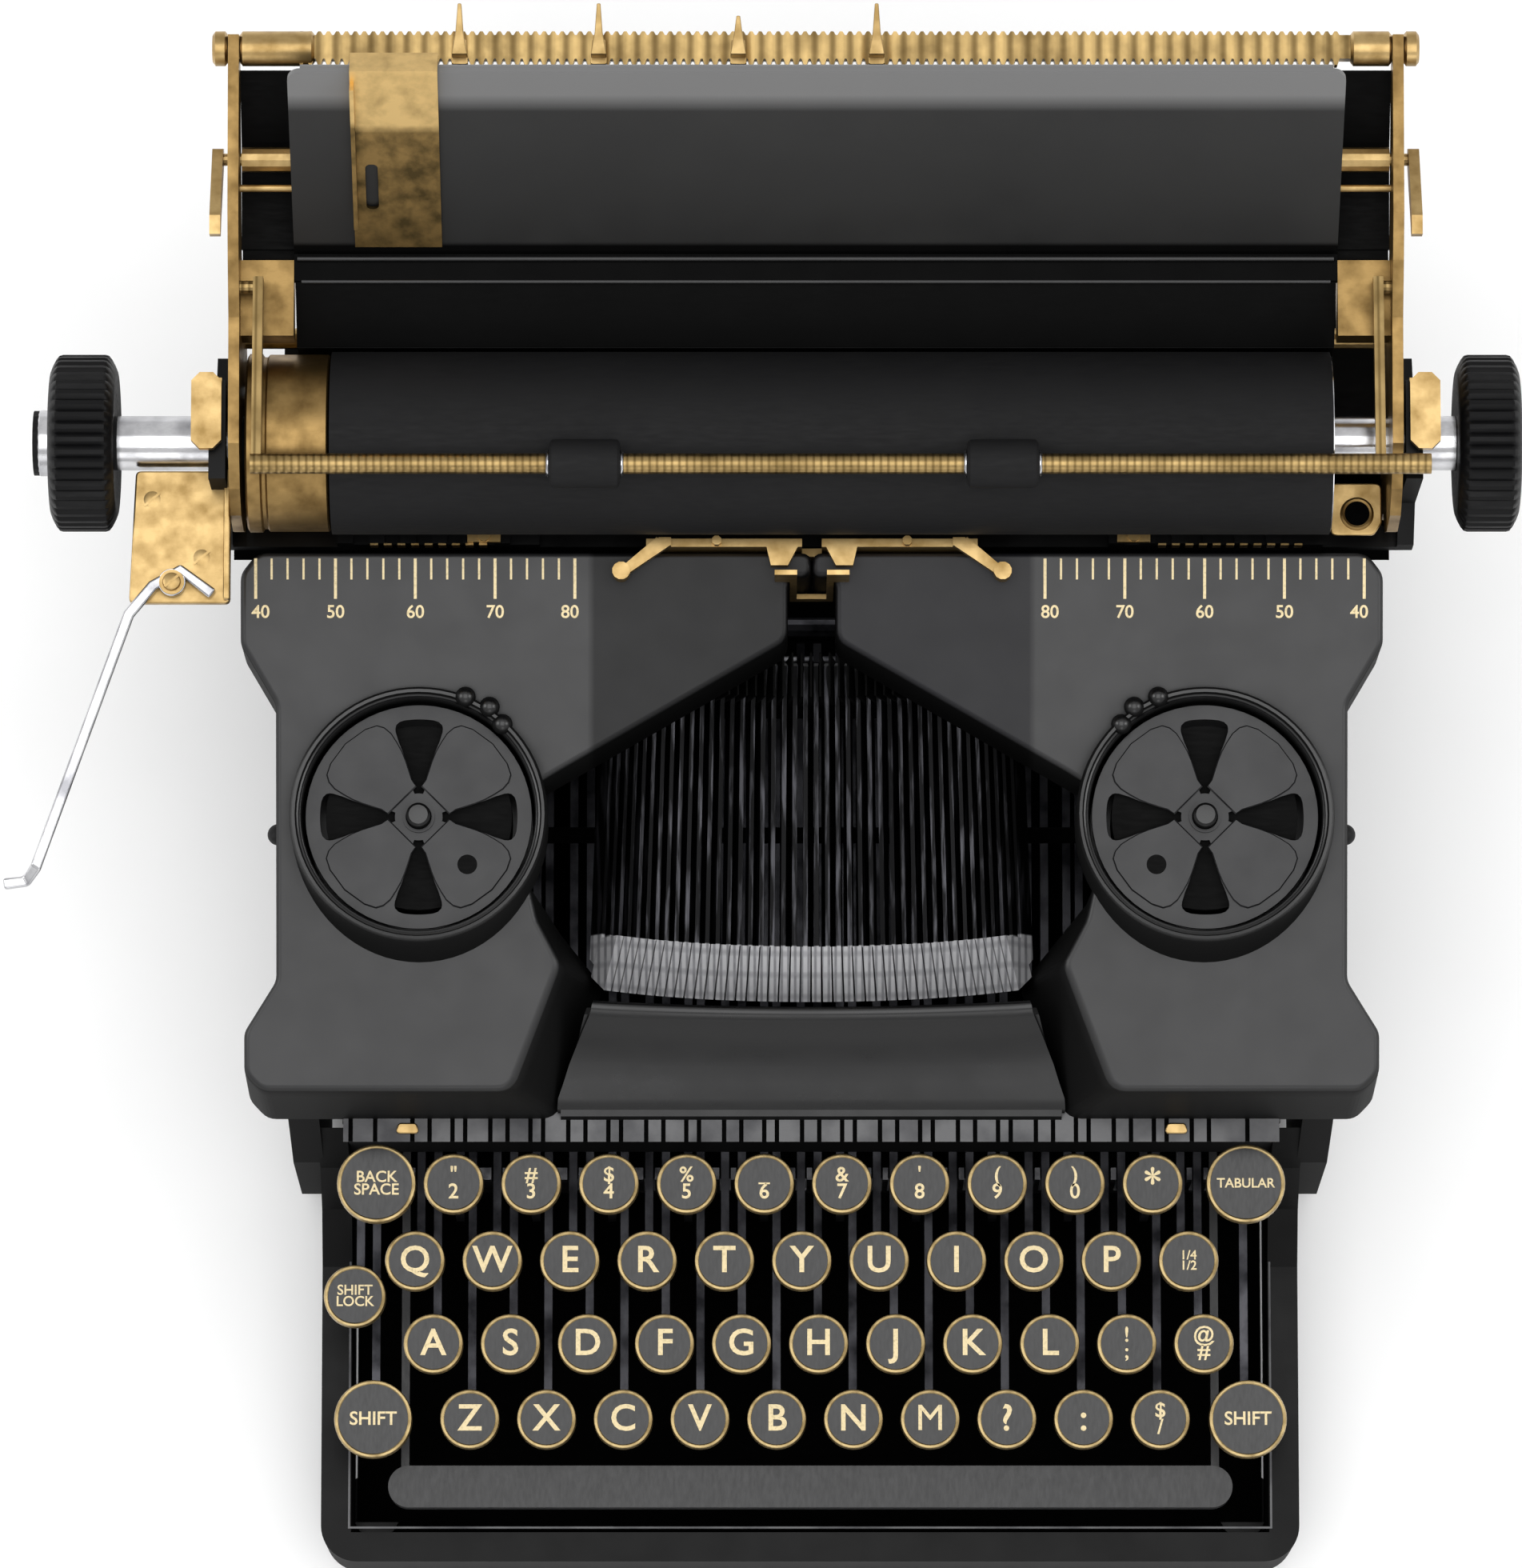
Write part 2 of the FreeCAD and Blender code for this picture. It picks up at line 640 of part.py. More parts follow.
def make_key_guides():
    """Comb that keeps the levers in line, and the rod that they rock on."""
    inner = FRAME_HALF - FLANK_WALL
    comb = box(-inner, inner, COMB_Y[0], COMB_Y[1], COMB_Z[0] - 5.0, COMB_Z[1])
    half = LEVER_W / 2 + COMB_CLEAR
    slots = [box(x - half, x + half, COMB_Y[0] - 1, COMB_Y[1] + 1, COMB_Z[0], COMB_Z[1] + 1)
             for x in lever_places()]
    comb = comb.cut(Part.makeCompound(slots))
    wall = BODY_HALF - BODY_WALL
    rod = peg_x(-wall, wall, FULCRUM_Y, LEVER_Z - LEVER_GAP - FULCRUM_R, FULCRUM_R)
    return Part.makeCompound([comb, rod])


# Type basket

def at_depth(u, r):
    """A point (y, z) that lies u in front of the printing plane and r below the printing point."""
    return PRINT_Y - u, PRINT_Z - r


def bar_outline():
    """Side of the typebar arm at the moment of striking, tail first."""
    u = BAR_PIVOT_BACK
    r = BAR_PIVOT_R
    wide = BAR_DEPTH / 2
    return [at_depth(u - wide, r + BAR_TAIL), at_depth(u + wide, r + BAR_TAIL), at_depth(u + wide, r - 6.0),
            at_depth(STRIKE_GAP + SLUG_DEPTH + 2.4, -1.0), at_depth(STRIKE_GAP + SLUG_DEPTH - 0.6, -2.5),
            at_depth(STRIKE_GAP + SLUG_DEPTH - 0.6, 2.5), at_depth(u - wide, r - 6.0)]


def slug_outline():
    """Side of the type slug at the moment of striking."""
    half = SLUG_LEN / 2
    back = STRIKE_GAP + SLUG_DEPTH
    return [at_depth(STRIKE_GAP, -half), at_depth(STRIKE_GAP, half), at_depth(back, half - 2.0),
            at_depth(back, 2.0 - half)]


def make_typebar(index):
    """One typebar at rest, with the slug of two characters on its end."""
    arm = prism_yz(bar_outline(), -BAR_T / 2, BAR_T / 2)
    slug = prism_yz(slug_outline(), -SLUG_T / 2, SLUG_T / 2)
    bar = arm.fuse(slug)
    pivot_y, pivot_z = at_depth(BAR_PIVOT_BACK, BAR_PIVOT_R)
    bar.rotate(Vector(0, pivot_y, pivot_z), Vector(1, 0, 0), BAR_SWING)
    bar.rotate(Vector(0, 0, PRINT_Z), Vector(0, 1, 0), -bar_angle(index))
    return bar


def bar_angle(index):
    """Fan angle of a typebar, from the middle of the segment."""
    return -BAR_HALF_FAN + 2 * BAR_HALF_FAN * index / (BAR_COUNT - 1)


def make_typebars():
    return Part.makeCompound([make_typebar(i) for i in range(BAR_COUNT) if i != STRIKING_BAR])


def ring_sector(inner_r, outer_r, y0, y1, half_angle, sides):
    """Sector of a ring about the printing axis, centred below it."""
    ring = prism_xz(round_outline(0, PRINT_Z, outer_r, sides), y0, y1)
    ring = ring.cut(prism_xz(round_outline(0, PRINT_Z, inner_r, sides), y0 - 1, y1 + 1))
    reach = outer_r * 2
    spread = reach * math.tan(math.radians(half_angle))
    wedge = prism_xz([(0, PRINT_Z), (-spread, PRINT_Z - reach), (spread, PRINT_Z - reach)], y0 - 2, y1 + 2)
    return ring.common(wedge)


def make_type_segment():
    """Slotted segment that carries the typebars, on a bridge between the side frames."""
    y0 = PRINT_Y - BAR_PIVOT_BACK - SEGMENT_DEPTH / 2
    y1 = y0 + SEGMENT_DEPTH
    ring = ring_sector(SEGMENT_IN_R, SEGMENT_OUT_R, y0, y1, BAR_HALF_FAN + 4.0, RING_SIDES)
    half = BAR_T / 2 + SLOT_CLEAR
    slots = []
    for index in range(BAR_COUNT):
        slot = box(-half, half, y0 - 1, y1 + 1, PRINT_Z - BAR_PIVOT_R - BAR_TAIL - 1.2, PRINT_Z - SEGMENT_IN_R + 2)
        slot.rotate(Vector(0, 0, PRINT_Z), Vector(0, 1, 0), -bar_angle(index))
        slots.append(slot)
    ring = ring.cut(Part.makeCompound(slots))
    wall = BODY_HALF - BODY_WALL
    foot_z = PRINT_Z - SEGMENT_OUT_R
    bridge = box(-wall, wall, y0, y1, foot_z - 14.0, foot_z + 1.0)
    return fuse([ring, bridge])


def make_type_guide():
    """Guide behind the covers at the printing point: two prongs and the card arms with their balls."""
    y0 = COVER_BACK_Y + 0.5
    y1 = y0 + 2.0
    pieces = []
    for side in [-1, 1]:
        x0, x1 = sorted([side * GUIDE_GAP, side * 40.0])
        pieces.append(box(x0, x1, y0, y1, 152.0, 166.5))
        prong = prism_xy([(side * GUIDE_GAP, y1), (side * (GUIDE_GAP + 3.4), y0 - 4.5),
                          (side * (GUIDE_GAP + 7.5), y0 - 4.5), (side * (GUIDE_GAP + 9.0), y1)], 163.4, 166.5)
        pieces.append(prong)
        pieces.append(disc_z(side * 23.0, y0 + 1.2, 160.0, 169.0, 1.2, 8))
        x, y, z = CARD_BALL
        arm = [(side * 34.0, y0 + 0.2), (side * 37.5, y1), (side * x, y + 1.0), (side * (x - 1.0), y - 1.0)]
        pieces.append(prism_xy(arm, z - 2.2, z))
        pieces.append(box(side * 35.5 - 1.5, side * 35.5 + 1.5, y0, y1, 160.0, z))
        pieces.append(disc_z(side * x, y, z - 3.2, z + 1.0, 2.2, 12))
    pieces.append(box(-40.0, 40.0, y0, y1, 147.0, 153.0))
    for side in [-1, 1]:
        pieces.append(box(side * 36.0 - 4.0, side * 36.0 + 4.0, y0, y1, RAIL_Z - 3.0, 148.0))
    return fuse(pieces)


def make_ribbon_vibrator():
    """Forked carrier that lifts the ribbon in front of the printing point, guided in the notch."""
    y1 = NOTCH_BACK_Y - 0.5
    y0 = y1 - 1.2
    inner = GUIDE_GAP + 1.2
    outer = NOTCH_HALF - 0.5
    fork = box(-9.0, 9.0, y0, y1, 163.4, 173.5)
    legs = box(-outer, outer, y0, y1, 136.0, 164.0)
    slot = box(-inner, inner, y0 - 1, y1 + 1, 140.0, 175.0)
    return fuse([fork, legs]).cut(slot)


# Carriage bed and rails

def make_carriage_rails():
    """Two fixed rails across the top of the frame, on end blocks."""
    pieces = []
    wall = BODY_HALF
    top = top_z(COVER_BACK_Y) - COVER_DROP
    for y in [sum(BED_FRONT_Y) / 2, sum(BED_REAR_Y) / 2]:
        rail = peg_x(-wall, wall, y, RAIL_Z, RAIL_R)
        blocks = [box(s * wall - 3.8 - s * 3.8, s * wall + 3.8 - s * 3.8, y - 3.0, y + 3.0, top, RAIL_Z)
                  for s in [-1, 1]]
        pieces.append(fuse([rail] + blocks))
    return Part.makeCompound(pieces)


def left_upright_x():
    outer = END_PLATE_LEFT_X[0] - UPRIGHT_GAP
    return outer - UPRIGHT_T, outer


def right_upright_x():
    inner = END_PLATE_RIGHT_X[1] + UPRIGHT_GAP
    return inner, inner + UPRIGHT_T


def make_upright(x0, x1):
    """End web of the carriage bed with the tall slot that lets the platen shaft lift."""
    web = prism_yz([(BED_FRONT_Y[0], BED_BAR_Z[0]), (BED_FRONT_Y[0], BED_BAR_Z[1] + 3.0),
                    (UPRIGHT_Y[0], 162.0), (UPRIGHT_Y[0], UPRIGHT_TOP), (UPRIGHT_Y[1], UPRIGHT_TOP),
                    (UPRIGHT_Y[1], 162.0), (BED_REAR_Y[1], BED_BAR_Z[1] + 3.0),
                    (BED_REAR_Y[1], BED_BAR_Z[0])], x0, x1)
    r = SHAFT_R + 0.8
    low = rod_x(x0 - 1, x1 + 1, PLATEN_Y, PLATEN_Z, r)
    high = rod_x(x0 - 1, x1 + 1, PLATEN_Y, PLATEN_Z + SHIFT_LIFT, r)
    middle = box(x0 - 1, x1 + 1, PLATEN_Y - r, PLATEN_Y + r, PLATEN_Z, PLATEN_Z + SHIFT_LIFT)
    return web.cut(fuse([low, high, middle]))


def margin_rack(x0, x1):
    """Toothed strip on the front bar of the bed."""
    y0 = BED_FRONT_Y[0]
    strip = box(x0, x1, y0, y0 + 3.0, BED_BAR_Z[1], BED_BAR_Z[1] + 3.0)
    count = int((x1 - x0) / MARGIN_PITCH)
    teeth = [box(x0 + MARGIN_PITCH * i, x0 + MARGIN_PITCH * i + MARGIN_PITCH / 2, y0, y0 + 3.0,
                 BED_BAR_Z[1] + 2.0, BED_BAR_Z[1] + 5.0) for i in range(count)]
    return fuse([strip] + teeth)


def make_carriage_bed():
    """Open bed: two long bars, two slotted uprights and the margin racks."""
    left = left_upright_x()
    right = right_upright_x()
    bars = []
    for y0, y1 in [BED_FRONT_Y, BED_REAR_Y]:
        bars.append(box(left[0], right[1], y0, y1, BED_BAR_Z[0], BED_BAR_Z[1]))
    racks = [margin_rack(*MARGIN_LEFT_X), margin_rack(*MARGIN_RIGHT_X)]
    return fuse(bars + [make_upright(*left), make_upright(*right)] + racks)


def make_margin_stop(x):
    """Spring catch that sits over the margin rack, with a thumb piece."""
    y0 = BED_FRONT_Y[0]
    gap = MARGIN_CLEAR
    top = BED_BAR_Z[1] + 5.0 + gap
    saddle = box(x - 4.0, x + 4.0, y0, y0 + 3.0 + gap + 1.2, top, top + 1.6)
    rear = box(x - 4.0, x + 4.0, y0 + 3.0 + gap, y0 + 3.0 + gap + 1.2, BED_BAR_Z[1] + gap, top + 1.6)
    thumb = disc_z(x, y0 + 1.6, top, top + 3.0, 1.6, PEG_SIDES)
    return fuse([saddle, rear, thumb])


# Platen frame: it rides on the bed and lifts for capitals

def end_plate_outline():
    return [
        (244.5, 147.0), (244.5, 157.0), (239.0, 161.0), (237.5, 170.0), (239.0, 183.0), (244.0, 191.0),
        (254.0, 197.2), (284.0, 200.0), (297.0, 205.0), (308.0, 208.4), (RACK_Y[1], 212.0),
        (RACK_Y[1], RACK_Z[0] - 1.5), (330.0, 198.5), (318.0, 194.5), (302.0, 190.0), (294.0, 180.0),
        (291.0, 166.0), (280.0, 158.0), (273.5, 157.0), (273.5, 147.0)]


def make_end_plate(x0, x1, block_x):
    """End plate with the platen bearing, the pivot holes, the rear arm and the paper table's bracket."""
    plate = prism_yz(end_plate_outline(), x0, x1)
    inside, reach = sorted(block_x)
    pieces = [plate, box(inside, reach, 281.0, TABLE_LEDGE_Y[1], 184.0, 193.0)]
    plate = fuse(pieces)
    holes = [rod_x(x0 - 1, x1 + 1, PLATEN_Y, PLATEN_Z, SHAFT_R + SHAFT_CLEAR)]
    for y, z in [(BAIL_PIVOT_Y, BAIL_PIVOT_Z), (RELEASE_Y, RELEASE_Z)] + feed_roll_axes():
        holes.append(peg_hole_x(x0 - 1, x1 + 1, y, z, PIN_R))
    return plate.cut(Part.makeCompound(holes))


def feed_roll_axes():
    """Axes (y, z) of the front and rear feed rolls under the platen."""
    reach = PLATEN_R + FEED_ROLL_R + FEED_ROLL_GAP
    drop = math.sqrt(reach ** 2 - FEED_ROLL_OFFSET ** 2)
    return [(PLATEN_Y - FEED_ROLL_OFFSET, PLATEN_Z - drop), (PLATEN_Y + FEED_ROLL_OFFSET, PLATEN_Z - drop)]


def make_feed_roll(y, z):
    """Thin shaft with three rubber rolls."""
    x0 = END_PLATE_LEFT_X[0]
    x1 = END_PLATE_RIGHT_X[1]
    pieces = [peg_x(x0, x1, y, z, PIN_R)]
    for middle in [-68.0, 4.0, 76.0]:
        pieces.append(disc_x(middle - 19.0, middle + 19.0, y, z, FEED_ROLL_R, KEY_SIDES))
    return fuse(pieces)


def make_cross_rods():
    """Tie rods between the end plates."""
    x0 = END_PLATE_LEFT_X[1]
    x1 = END_PLATE_RIGHT_X[0]
    return Part.makeCompound([peg_x(x0, x1, 285.5, 167.0, 2.5), peg_x(x0, x1, 315.7, 199.0, 0.9)])


def make_paper_deflector():
    """Curved trough behind the platen that leads the sheet round it, and the dark shelf below the table."""
    x0 = TABLE_X[0] + 0.3
    x1 = TABLE_X[1] - 0.3
    inner_r = PLATEN_R + 0.9
    outer_r = inner_r + 0.9
    ring = rod_x(x0, x1, PLATEN_Y, PLATEN_Z, outer_r).cut(rod_x(x0 - 1, x1 + 1, PLATEN_Y, PLATEN_Z, inner_r))
    reach = 40.0
    low = math.radians(-50.0)
    high = math.radians(12.0)
    wedge = prism_yz([(PLATEN_Y, PLATEN_Z),
                      (PLATEN_Y + reach * math.cos(low), PLATEN_Z + reach * math.sin(low)),
                      (PLATEN_Y + reach, PLATEN_Z),
                      (PLATEN_Y + reach * math.cos(high), PLATEN_Z + reach * math.sin(high))], x0, x1)
    arc = ring.common(wedge)
    y = PLATEN_Y + inner_r * math.cos(high)
    z = PLATEN_Z + inner_r * math.sin(high)
    ledge = TABLE_LEDGE_Y[0]
    apron = prism_yz([(y, z - 0.6), (y + 1.0, z - 1.2), (ledge, LEDGE_Z + 0.4), (ledge, LEDGE_Z + 1.6),
                      (y + 0.2, z + 0.2)], x0, x1)
    upper = [(302.6, 190.4), (326.0, 194.6), (343.4, 204.4)]
    lower = [(b, h - SHELF_T) for b, h in reversed(upper)]
    shelf = prism_yz(upper + lower, END_PLATE_LEFT_X[1], END_PLATE_RIGHT_X[0])
    return Part.makeCompound([fuse([arc, apron]), shelf])


def table_place(shape):
    """Stand a shape drawn flat (Y along the table, Z out of its face) on the paper table's slope."""
    rise = TABLE_HEAD[1] - TABLE_FOOT[1]
    back = TABLE_HEAD[0] - TABLE_FOOT[0]
    shape.rotate(Vector(0, 0, 0), Vector(1, 0, 0), math.degrees(math.atan2(rise, back)))
    shape.translate(Vector(0, TABLE_FOOT[0], TABLE_FOOT[1]))
    return shape


def table_length():
    return math.hypot(TABLE_HEAD[0] - TABLE_FOOT[0], TABLE_HEAD[1] - TABLE_FOOT[1])


def make_paper_table():
    """Sloping paper table with rounded upper corners, a rolled top edge and a foot ledge."""
    x0, x1 = TABLE_X
    plate = box(x0, x1, 0.0, table_length(), -TABLE_T, 0.0)
    corners = [e for e in edges_along(plate, Vector(0, 0, 1)) if e.Vertexes[0].Y > 1.0]
    plate = plate.makeFillet(TABLE_CORNER_R, corners)
    roll = rod_x(x0 + TABLE_CORNER_R, x1 - TABLE_CORNER_R, table_length() - TABLE_ROLL_R,
                 -TABLE_ROLL_R, TABLE_ROLL_R)
    table = table_place(fuse([plate, roll]))
    y0, y1 = TABLE_LEDGE_Y
    ledge = box(x0, x1, y0, y1 + 2.4, LEDGE_Z, LEDGE_Z + 2.6)
    return fuse([table, ledge])


def make_paper_guide():
    """Side guide that slides along the paper table and hooks over its rolled edge."""
    x0, x1 = GUIDE_X
    gap = GUIDE_CLEAR
    length = table_length()
    face = box(x0, x1, 4.0, length + gap, gap, gap + 1.0)
    slot = box(x0 + 3.0, x0 + 6.0, 16.0, 30.0, gap - 1, gap + 2)
    face = face.cut(slot.makeFillet(1.2, edges_along(slot, Vector(0, 0, 1))))
    over = box(x0, x1, length + gap, length + gap + 1.0, -2 * TABLE_ROLL_R - gap - 1.0, gap + 1.0)
    lip = box(x0, x1, length - 8.0, length + gap + 1.0, -2 * TABLE_ROLL_R - gap - 1.0, -2 * TABLE_ROLL_R - gap)
    fence = box(x0, x0 + 1.0, 12.0, length - 2.0, gap, gap + 4.0)
    return table_place(fuse([face, over, lip, fence]))


def make_lever_bracket():
    """Flat bracket on the left end plate that carries the return lever's post."""
    x_end = END_PLATE_LEFT_X[0]
    outer = -163.6
    clear_x = left_upright_x()[0] - 0.8
    z0 = LEVER_PLATE_Z
    z1 = z0 + LEVER_PLATE_T
    plate = prism_xy([(x_end, 219.9), (x_end, UPRIGHT_Y[0] - 0.8), (clear_x, UPRIGHT_Y[0] - 0.8),
                      (clear_x, PLATEN_Y - SHAFT_R - 1.0), (outer + 4.0, PLATEN_Y - SHAFT_R - 1.0),
                      (outer + 1.0, PLATEN_Y - SHAFT_R - 5.0), (outer, 238.0), (outer + 1.0, 219.9)], z0, z1)
    post = rod_z(LEVER_PIVOT[0], LEVER_PIVOT[1], z1, z1 + 7.0, LEVER_POST_R)
    head = disc_z(LEVER_PIVOT[0], LEVER_PIVOT[1], z1 + 5.6, z1 + 7.2, 5.0, PEG_SIDES)
    return fuse([plate, post, head])


def strip(points, width, z0, z1):
    """Flat strip of even width along a path of (x, y) points."""
    pieces = []
    for (ax, ay), (bx, by) in zip(points, points[1:]):
        run = Vector(bx - ax, by - ay, 0)
        side = Vector(-run.y, run.x, 0).normalize() * (width / 2)
        pieces.append(prism_xy([(ax + side.x, ay + side.y), (bx + side.x, by + side.y),
                                (bx - side.x, by - side.y), (ax - side.x, ay - side.y)], z0, z1))
    for x, y in points[1:-1]:
        pieces.append(disc_z(x, y, z0, z1, width / 2, PEG_SIDES))
    return fuse(pieces)


def make_return_lever():
    """Line-space and carriage-return lever: a cranked strip with a turned-up finger piece."""
    z0 = LEVER_PLATE_Z + LEVER_PLATE_T + 0.3
    z1 = z0 + 2.4
    arm = strip([tuple(LEVER_PIVOT), tuple(LEVER_ELBOW), tuple(LEVER_TIP)], LEVER_W_STRIP, z0, z1)
    hub = disc_z(LEVER_PIVOT[0], LEVER_PIVOT[1], z0, z1 + 2.4, 5.6, PEG_SIDES)
    finger = strip([tuple(LEVER_TIP), tuple(LEVER_END)], LEVER_W_STRIP, z0 - 7.0, z1)
    knob = disc_z(LEVER_TIP[0], LEVER_TIP[1], z0 - 7.0, z1, LEVER_W_STRIP / 2, PEG_SIDES)
    lever = fuse([arm, hub, finger, knob])
    return lever.cut(rod_z(LEVER_PIVOT[0], LEVER_PIVOT[1], z0 - 1, z1 + 4, LEVER_POST_R + SHAFT_CLEAR))


def make_carriage_release(x0, x1):
    """Thumb lever over an upright, pinned at the back."""
    side = 1.0 if x0 > 0 else -1.0
    middle = (x0 + x1) / 2 + side * 2.4
    z0 = UPRIGHT_TOP + 0.6
    tab = box(middle - 3.6, middle + 3.6, 252.5, 271.0, z0 + 1.6, z0 + 4.0)
    tab = tab.makeChamfer(2.0, edges_along(tab, Vector(0, 0, 1)))
    neck = box(middle - side * 2.4 - 1.2, middle - side * 2.4 + 1.2, 262.0, 270.0, z0, z0 + 2.0)
    return fuse([tab, neck])


def make_paper_release():
    """Release shaft behind the table with a spoon lever at each end."""
    x0 = END_PLATE_LEFT_X[0] - 4.0
    x1 = END_PLATE_RIGHT_X[1] + 4.0
    pieces = [peg_x(END_PLATE_LEFT_X[1] + 0.4, END_PLATE_RIGHT_X[0] - 0.4, RELEASE_Y, RELEASE_Z, RELEASE_R),
              peg_x(x0, x1, RELEASE_Y, RELEASE_Z, PIN_R)]
    for x, out in [(x0, -1), (x1, 1)]:
        root = Vector(x, RELEASE_Y, RELEASE_Z)
        tip = Vector(x + out * 1.0, RELEASE_Y - 18.0, RELEASE_Z + 11.0)
        near, far = sorted([x, x - out * 2.6])
        arm = [(root.y + 3.0, root.z - 1.5), (root.y, root.z - 3.0), (tip.y + 2.0, tip.z - 3.0),
               (tip.y - 3.0, tip.z - 0.5), (tip.y - 3.0, tip.z + 2.5), (tip.y + 1.5, tip.z + 3.0),
               (root.y + 2.0, root.z + 3.0)]
        pieces.append(prism_yz(arm, near, far))
    return fuse(pieces)


def make_tab_rack():
    """Toothed tabulator rack behind the table, with four stops set in it."""
    x0 = END_PLATE_LEFT_X[1]
    x1 = END_PLATE_RIGHT_X[0]
    y0, y1 = RACK_Y
    z0, z1 = RACK_Z
    root = y1 - RACK_TOOTH
    bar = box(x0, x1, y0, root, z0, z1)
    first = -120.0
    count = int((x1 - 16.0 - first) / RACK_PITCH)
    teeth = [prism_xy([(first + RACK_PITCH * i, root), (first + RACK_PITCH * (i + 0.5), y1),
                       (first + RACK_PITCH * (i + 1), root)], z0, z1) for i in range(count)]
    middle = (z0 + z1) / 2
    sockets = [peg_x(x0, first - 4.0, (y0 + y1) / 2, middle, RACK_SOCKET_R),
               peg_x(x1 - 10.0, x1, (y0 + y1) / 2, middle, RACK_SOCKET_R)]
    rack = fuse([bar] + teeth + sockets)
    caps = [peg_x(END_PLATE_LEFT_X[0] - RACK_CAP, END_PLATE_LEFT_X[0], (y0 + y1) / 2, middle, RACK_SOCKET_R),
            peg_x(END_PLATE_RIGHT_X[1], END_PLATE_RIGHT_X[1] + RACK_CAP, (y0 + y1) / 2, middle, RACK_SOCKET_R)]
    return Part.makeCompound([rack] + caps + [make_tab_stop(x) for x in TAB_STOP_X])


def make_tab_stop(x):
    """Finger that stands on the rack and reaches back."""
    y0 = RACK_Y[0]
    top = RACK_Z[1]
    reach = TAB_REACH if x != TAB_STOP_X[2] else TAB_REACH - 3.0
    foot = box(x - 2.4, x + 2.4, y0 + 0.5, y0 + 4.0, top, top + 3.0)
    finger = box(x - 1.1, x + 1.1, y0 + 1.0, y0 + reach, top + 3.0, top + 7.0)
    return fuse([foot, finger])


# Platen and paper bail

def make_platen_roller():
    """Rubber platen on its steel shaft, with the turned end at the left."""
    core = rod_x(STUB_X + 3.0, KNOB_RIGHT_X[1] - 2.0, PLATEN_Y, PLATEN_Z, SHAFT_R)
    roller = rod_x(PLATEN_X[0], PLATEN_X[1], PLATEN_Y, PLATEN_Z, PLATEN_R)
    stub = disc_x(STUB_X, KNOB_LEFT_X[0], PLATEN_Y, PLATEN_Z, STUB_R, FOOT_SIDES)
    return fuse([core, roller, stub])


def make_line_space_ratchet():
    """Ratchet wheel and brass drum between the end plate and the platen."""
    x0, x1 = RATCHET_X
    split = x0 + 5.6
    outline = []
    for i in range(RATCHET_TEETH):
        start = 2 * math.pi * i / RATCHET_TEETH
        rise = 2 * math.pi * (i + 0.75) / RATCHET_TEETH
        root_r = RATCHET_R - RATCHET_TOOTH
        outline.append((PLATEN_Y + root_r * math.cos(start), PLATEN_Z + root_r * math.sin(start)))
        outline.append((PLATEN_Y + RATCHET_R * math.cos(rise), PLATEN_Z + RATCHET_R * math.sin(rise)))
    wheel = prism_yz(outline, x0, split)
    drum = disc_x(split, x1, PLATEN_Y, PLATEN_Z, RATCHET_R, CUP_SIDES)
    ratchet = fuse([wheel, drum])
    return ratchet.cut(rod_x(x0 - 1, x1 + 1, PLATEN_Y, PLATEN_Z, SHAFT_R))


def make_knob(x0, x1):
    """Ribbed platen knob."""
    outline = []
    for i in range(KNOB_RIBS):
        for share, r in [(0.0, KNOB_R), (0.6, KNOB_R - KNOB_GROOVE)]:
            a = 2 * math.pi * (i + share) / KNOB_RIBS
            outline.append((PLATEN_Y + r * math.cos(a), PLATEN_Z + r * math.sin(a)))
    knob = prism_yz(outline, x0 + 1.6, x1 - 1.6)
    core = disc_x(x0, x1, PLATEN_Y, PLATEN_Z, KNOB_R - 2.2, KNOB_RIBS)
    return fuse([knob, core]).cut(rod_x(x0 - 1, x1 + 1, PLATEN_Y, PLATEN_Z, SHAFT_R))


def bail_rod_place():
    """Height and depth of the bail rod, clear of the platen by the rollers' gap."""
    reach = PLATEN_R + BAIL_ROLLER_R + BAIL_ROLLER_GAP
    return PLATEN_Y - BAIL_FORWARD, PLATEN_Z + math.sqrt(reach ** 2 - BAIL_FORWARD ** 2)


def make_bail_frame():
    """Paper bail: a rod on two arms that are pinned at the back of the end plates."""
    y, z = bail_rod_place()
    pieces = [rod_x(BAIL_ARM_LEFT_X - 1.4, BAIL_ROD_RIGHT, y, z, BAIL_ROD_R)]
    for x, plate_x in [(BAIL_ARM_LEFT_X, END_PLATE_LEFT_X[0]), (BAIL_ARM_RIGHT_X, END_PLATE_RIGHT_X[1])]:
        arm = prism_yz([(y - 1.0, z - 1.4), (y - 1.0, z + 1.4), (BAIL_PIVOT_Y + 2.2, BAIL_PIVOT_Z + 2.2),
                        (BAIL_PIVOT_Y + 2.2, BAIL_PIVOT_Z - 2.2)], x - 1.2, x + 1.2)
        pieces.append(arm)
        pieces.append(peg_x(min(x, plate_x), max(x, plate_x), BAIL_PIVOT_Y, BAIL_PIVOT_Z, PIN_R))
    return fuse(pieces)


def make_bail_roller(x0, x1):
    """Rubber roller with a bright ferrule at each end, free on the bail rod."""
    y, z = bail_rod_place()
    tyre = disc_x(x0 + 2.0, x1 - 2.0, y, z, BAIL_ROLLER_R, KEY_SIDES)
    hub = disc_x(x0, x1, y, z, BAIL_ROLLER_R - 1.6, KEY_SIDES)
    return fuse([tyre, hub]).cut(rod_x(x0 - 1, x1 + 1, y, z, BAIL_ROD_R + SPOOL_CLEAR))


